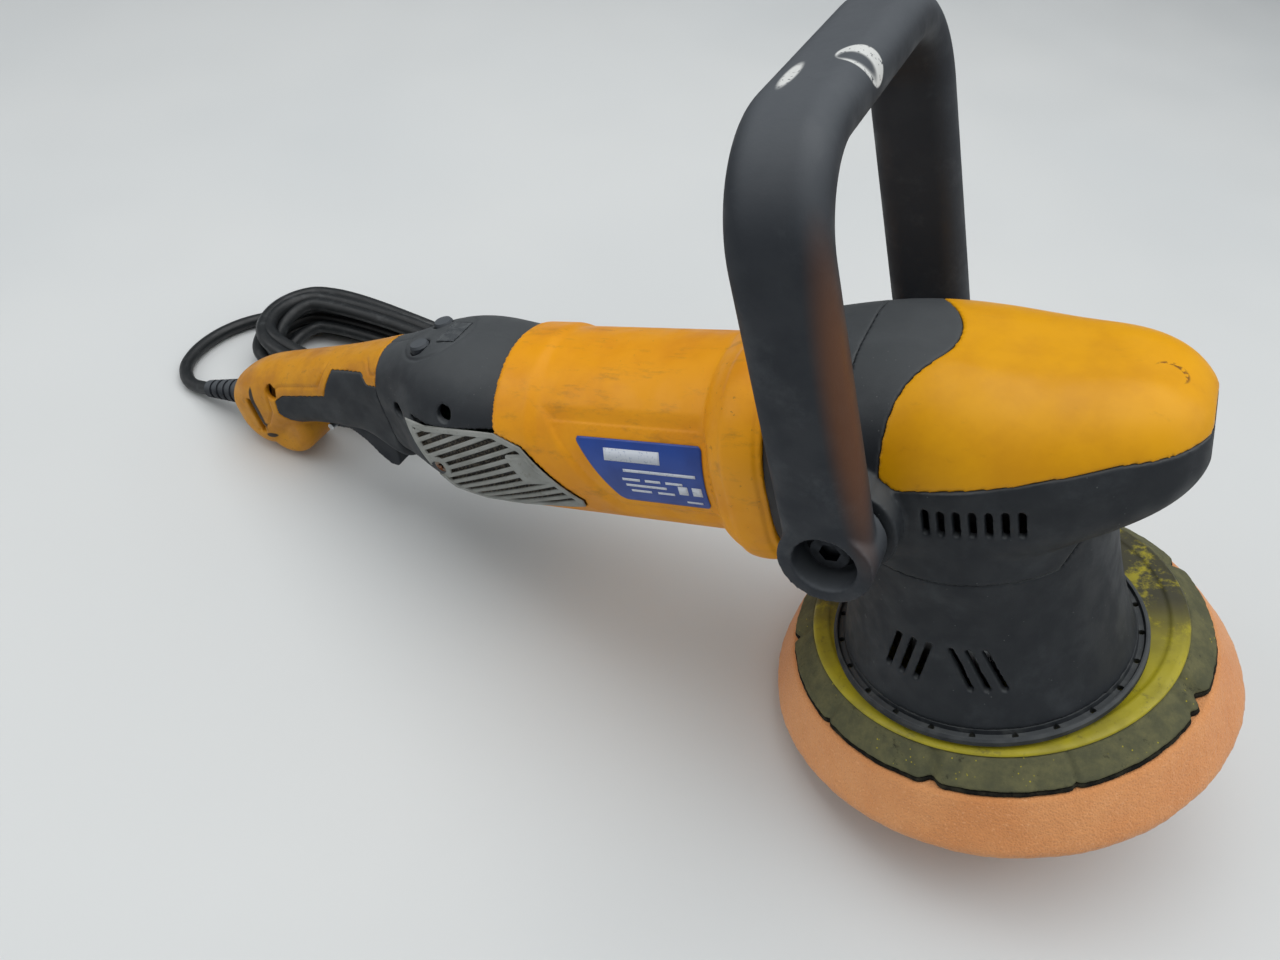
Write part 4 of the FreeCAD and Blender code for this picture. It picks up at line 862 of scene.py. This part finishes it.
# The name plate's film, and its bars as (x, z, length, height).
LABEL_RADIUS = MOTOR_RADIUS - PANEL_DEPTH + 0.3
LABEL_LOW = 110.8
LABEL_HIGH = 135.2
LABEL_REAR_LOW = -114.6
LABEL_REAR_HIGH = -130.0
LABEL_FRONT = -80.0
FILM_THICKNESS = 0.25
PRINT_LIFT = 0.2
PRINT_THICKNESS = 0.08
LABEL_BARS = [(-118.0, 130.0, 22.0, 4.4), (-111.0, 124.6, 28.0, 1.1), (-112.0, 121.0, 7.0, 1.0),
              (-103.0, 121.0, 6.0, 1.0), (-95.0, 121.0, 6.5, 1.0), (-111.0, 118.6, 16.0, 1.0),
              (-109.5, 116.2, 8.0, 1.0), (-99.0, 116.2, 6.5, 1.0), (-90.5, 118.4, 3.6, 3.6),
              (-85.2, 118.4, 3.6, 3.6), (-88.5, 113.2, 6.0, 0.9)]


def motor_relief(spots, facing):
    """Sloping frame round the recess, a raised band at the rear and a ridge on the flange."""
    x, y, z = spots.T
    outward = (facing[:, 1] * y + facing[:, 2] * (z - MOTOR_AXIS_Z)) > 0
    flank = soften(8, 14, np.abs(y)) * outward
    depth = inside(spots[:, [0, 2]], BEVEL_OUTLINE)
    beside_panel = 1 - soften(-0.6, 1.2, inside(spots[:, [0, 2]], PANEL_OUTLINE))
    sink = -BEVEL_DEPTH * soften(0, 5.0, depth) * beside_panel * flank * (1 - soften(-77, -74.5, x))
    band = REAR_BAND_HEIGHT * (1 - soften(-151, -145, x)) * soften(126, 136, z) * outward
    ridge = FLANGE_RIDGE_HEIGHT * soften(-71.5, -69.5, x) * (1 - soften(-59.5, -58, x)) * outward
    return sink + band + ridge


def on_label(x, z, lift=0.0):
    """Place on the name plate's film, or that far above it."""
    r = LABEL_RADIUS + lift
    turn = math.asin(max(-1.0, min(1.0, (z - MOTOR_AXIS_Z) / LABEL_RADIUS)))
    return (x, -r * math.cos(turn), MOTOR_AXIS_Z + r * math.sin(turn))


def add_label():
    """Blue trapezoid film bent round the shell, with plain pale bars in place of print."""
    rows = []
    for i in range(33):
        share = i / 32
        z = LABEL_LOW + (LABEL_HIGH - LABEL_LOW) * share
        rear = LABEL_REAR_LOW + (LABEL_REAR_HIGH - LABEL_REAR_LOW) * share
        ease = 1.6 * (1 - min(1.0, min(share, 1 - share) * 14)) ** 2
        start = rear + ease
        length = LABEL_FRONT - ease * 0.7 - start
        rows.append([on_label(start + length * j / 60, z) for j in range(61)])
    mesh = grid_mesh("name_plate_film", rows, closed=False)
    mesh = with_modifier(mesh, "SOLIDIFY", thickness=FILM_THICKNESS * MM, offset=0.0)
    piece("name_plate_film", mesh, name_plate(), "housing", "label_film", "label_plate")
    verts, faces = [], []
    for x, z, length, height in LABEL_BARS:
        columns = max(2, int(length))
        start = len(verts)
        for j in range(columns + 1):
            for share in (-0.5, 0.5):
                place = on_label(x + length * j / columns, z + share * height, PRINT_LIFT)
                verts.append([c * MM for c in place])
        faces += [(start + 2 * j, start + 2 * j + 2, start + 2 * j + 3, start + 2 * j + 1)
                  for j in range(columns)]
    marks = bpy.data.meshes.new("name_plate_marks")
    marks.from_pydata(verts, [], faces)
    marks = with_modifier(marks, "SOLIDIFY", thickness=PRINT_THICKNESS * MM, offset=0.0)
    piece("name_plate_marks", marks, print_pale(), "housing", "label_film")


# ------------------------------------------------------------ handle relief
COVER_LINE_INSET = 4.2
COVER_LINE_DEPTH = 0.6
CONSOLE_X = -204
CONSOLE_RADIUS = 15.5
CONSOLE_LINE_DEPTH = 0.45
PARTING_DEPTH = 0.4
COVER_EDGE = [(-224, 175), (-223.5, 140), (-238, 139.5), (-241, 143.5), (-261, 142), (-267, 131.5),
              (-294, 129.5), (-300, 126.5), (-302, 118), (-309, 110), (-322, 104), (-345, 104), (-345, 175)]


def cover_relief(spots, facing):
    """Line let into the flanks, parallel to the cover's edge."""
    depth = inside(spots[:, [0, 2]], COVER_EDGE)
    flank = soften(0.25, 0.55, np.abs(facing[:, 1])) * (spots[:, 0] > -322)
    flank = flank * (spots[:, 1] * facing[:, 1] > 0)
    return -COVER_LINE_DEPTH * groove(depth - COVER_LINE_INSET, 0.9) * flank


def rear_relief(spots, facing):
    """Round line about the console and a parting line along the top."""
    x, y, z = spots.T
    upward = soften(0.4, 0.7, facing[:, 2])
    surround = np.hypot(x - CONSOLE_X, y) - CONSOLE_RADIUS
    parting = groove(y, 0.7) * upward * (1 - soften(-218, -216, x) + soften(-189, -187, x))
    return -CONSOLE_LINE_DEPTH * groove(surround, 0.8) * upward - PARTING_DEPTH * parting


# --------------------------------------------------------------------- grilles
# The grille's rear and front edges as (z, x), and its plain window as (x, z).
GRILLE_REAR = [(97.5, -165.0), (99.0, -182.0), (106.0, -193.0), (137.0, -207.0)]
GRILLE_FRONT = [(97.5, -165.0), (101.5, -140.0), (103.0, -134.0), (107.0, -133.0), (130.0, -153.0),
                (134.4, -165.0), (134.6, -197.0), (137.0, -207.0)]
GRILLE_WINDOW = [(-160.0, 125.5), (-151.5, 126.5), (-143.5, 116.0), (-155.0, 114.5)]
GRILLE_SCREW = (-195.5, 117.0)
SCREW_POCKET = 3.3
BAR_RADIUS = 36.2
BAR_THICKNESS = 0.45
SLOT_DEPTH = 1.5
SLOT_PITCH = 3.8
SLOT_SLOPE = math.tan(math.radians(19))
SLOT_START = (-182, 137.5)
RIM_HEIGHT = 0.35
WINDOW_HEIGHT = 0.35
GRILLE_ROWS = 190
GRILLE_COLUMNS = 300


def grille_height(x, z):
    """Height over the bars, in millimetres: slots, raised frame, raised plain window."""
    spots = np.stack([x, z], 1)
    outline = [(a, b) for b, a in GRILLE_REAR + GRILLE_FRONT[-2:0:-1]]
    edge = inside(spots, outline)
    window = inside(spots, GRILLE_WINDOW)
    across = SLOT_START[1] + SLOT_SLOPE * (x - SLOT_START[0]) - z
    away = np.abs((across + SLOT_PITCH / 2) % SLOT_PITCH - SLOT_PITCH / 2)
    boss = np.hypot(x - GRILLE_SCREW[0], z - GRILLE_SCREW[1])
    slotted = soften(2.0, 2.5, edge) * soften(0.8, 1.2, -window) * soften(5.2, 5.7, boss)
    rim = RIM_HEIGHT * (1 - soften(2.0, 2.4, edge)) - 0.3 * (1 - soften(0, 0.5, edge))
    slots = SLOT_DEPTH * slotted * (1 - soften(0.7, 1.1, away))
    return rim + WINDOW_HEIGHT * soften(0, 0.6, window) - slots


def add_grille(node, finish):
    """Grille bent round the motor axis, a closed sheet with a hole over its screw."""
    side = math.copysign(1, (TOOL.inverted() @ NODES[node].data.vertices[0].co).y)
    low, high = GRILLE_REAR[0][0] + 0.05, GRILLE_REAR[-1][0] - 0.05
    rows = []
    for z in np.linspace(low, high, GRILLE_ROWS):
        rear = np.interp(z, *np.transpose(GRILLE_REAR))
        front = np.interp(z, *np.transpose(GRILLE_FRONT))
        x = np.linspace(rear, front, GRILLE_COLUMNS)[::int(-side)]
        turn = math.asin((z - MOTOR_AXIS_Z) / BAR_RADIUS)
        radius = BAR_RADIUS + grille_height(x, np.full(GRILLE_COLUMNS, z))
        outward = side * radius * math.cos(turn)
        rows.append(np.stack([x, outward, MOTOR_AXIS_Z + radius * math.sin(turn)], 1))
    mesh = grid_mesh(node + "_bars", rows, closed=False)
    spots = corners(mesh)
    reach = spots[:, [0, 2]] - GRILLE_SCREW
    away = np.maximum(np.hypot(*reach.T), 1e-6)
    hole = away < SCREW_POCKET
    spots[:, [0, 2]] += np.where(hole, SCREW_POCKET / away - 1, 0)[:, None] * reach
    place_corners(mesh, spots)
    shape = bmesh.new()
    shape.from_mesh(mesh)
    within = [face for face in shape.faces if all(hole[v.index] for v in face.verts)]
    bmesh.ops.delete(shape, geom=within, context="FACES")
    shape.to_mesh(mesh)
    shape.free()
    mesh = with_modifier(mesh, "SOLIDIFY", thickness=BAR_THICKNESS * MM, offset=-1.0)
    piece(node + "_bars", mesh, finish, NODES[node]["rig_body"], "grey_plastic", node)


def add_grilles():
    finish = grille_grey()
    add_grille("grille_left", finish)
    add_grille("grille_right", finish)


def add_shells():
    ochre = ochre_cover()
    yellow = yellow_nose()
    # Node, finish, slot, size of the remeshing grid in millimetres, smoothing rounds, relief.
    for settings in (
        ("nose_cover", yellow, "yellow_plastic", 0.7, 4),
        ("head_cover", DARK, "black_plastic", 0.7, 2),
        ("collar", DARK, "black_plastic", 0.7, 3),
        ("skirt", DARK, "black_plastic", 0.65, 2),
        ("motor_housing", AMBER, "yellow_plastic", 0.7, 3, motor_relief),
        ("rear_housing", DARK, "black_plastic", 0.65, 3, rear_relief),
        ("handle_left", DARK, "black_plastic", 0.6, 2),
        ("handle_right", DARK, "black_plastic", 0.6, 2),
        ("handle_cover", ochre, "yellow_plastic", 0.6, 2, cover_relief),
        ("trigger", RUBBER, "black_plastic", 0.6, 2),
        ("d_handle", GRIP, "rubber_grip", 0.8, 4),
    ):
        moulded(*settings)


add_camera()
add_studio()
add_cord()
add_pad()
add_plate()
add_label()
add_grilles()
add_shells()
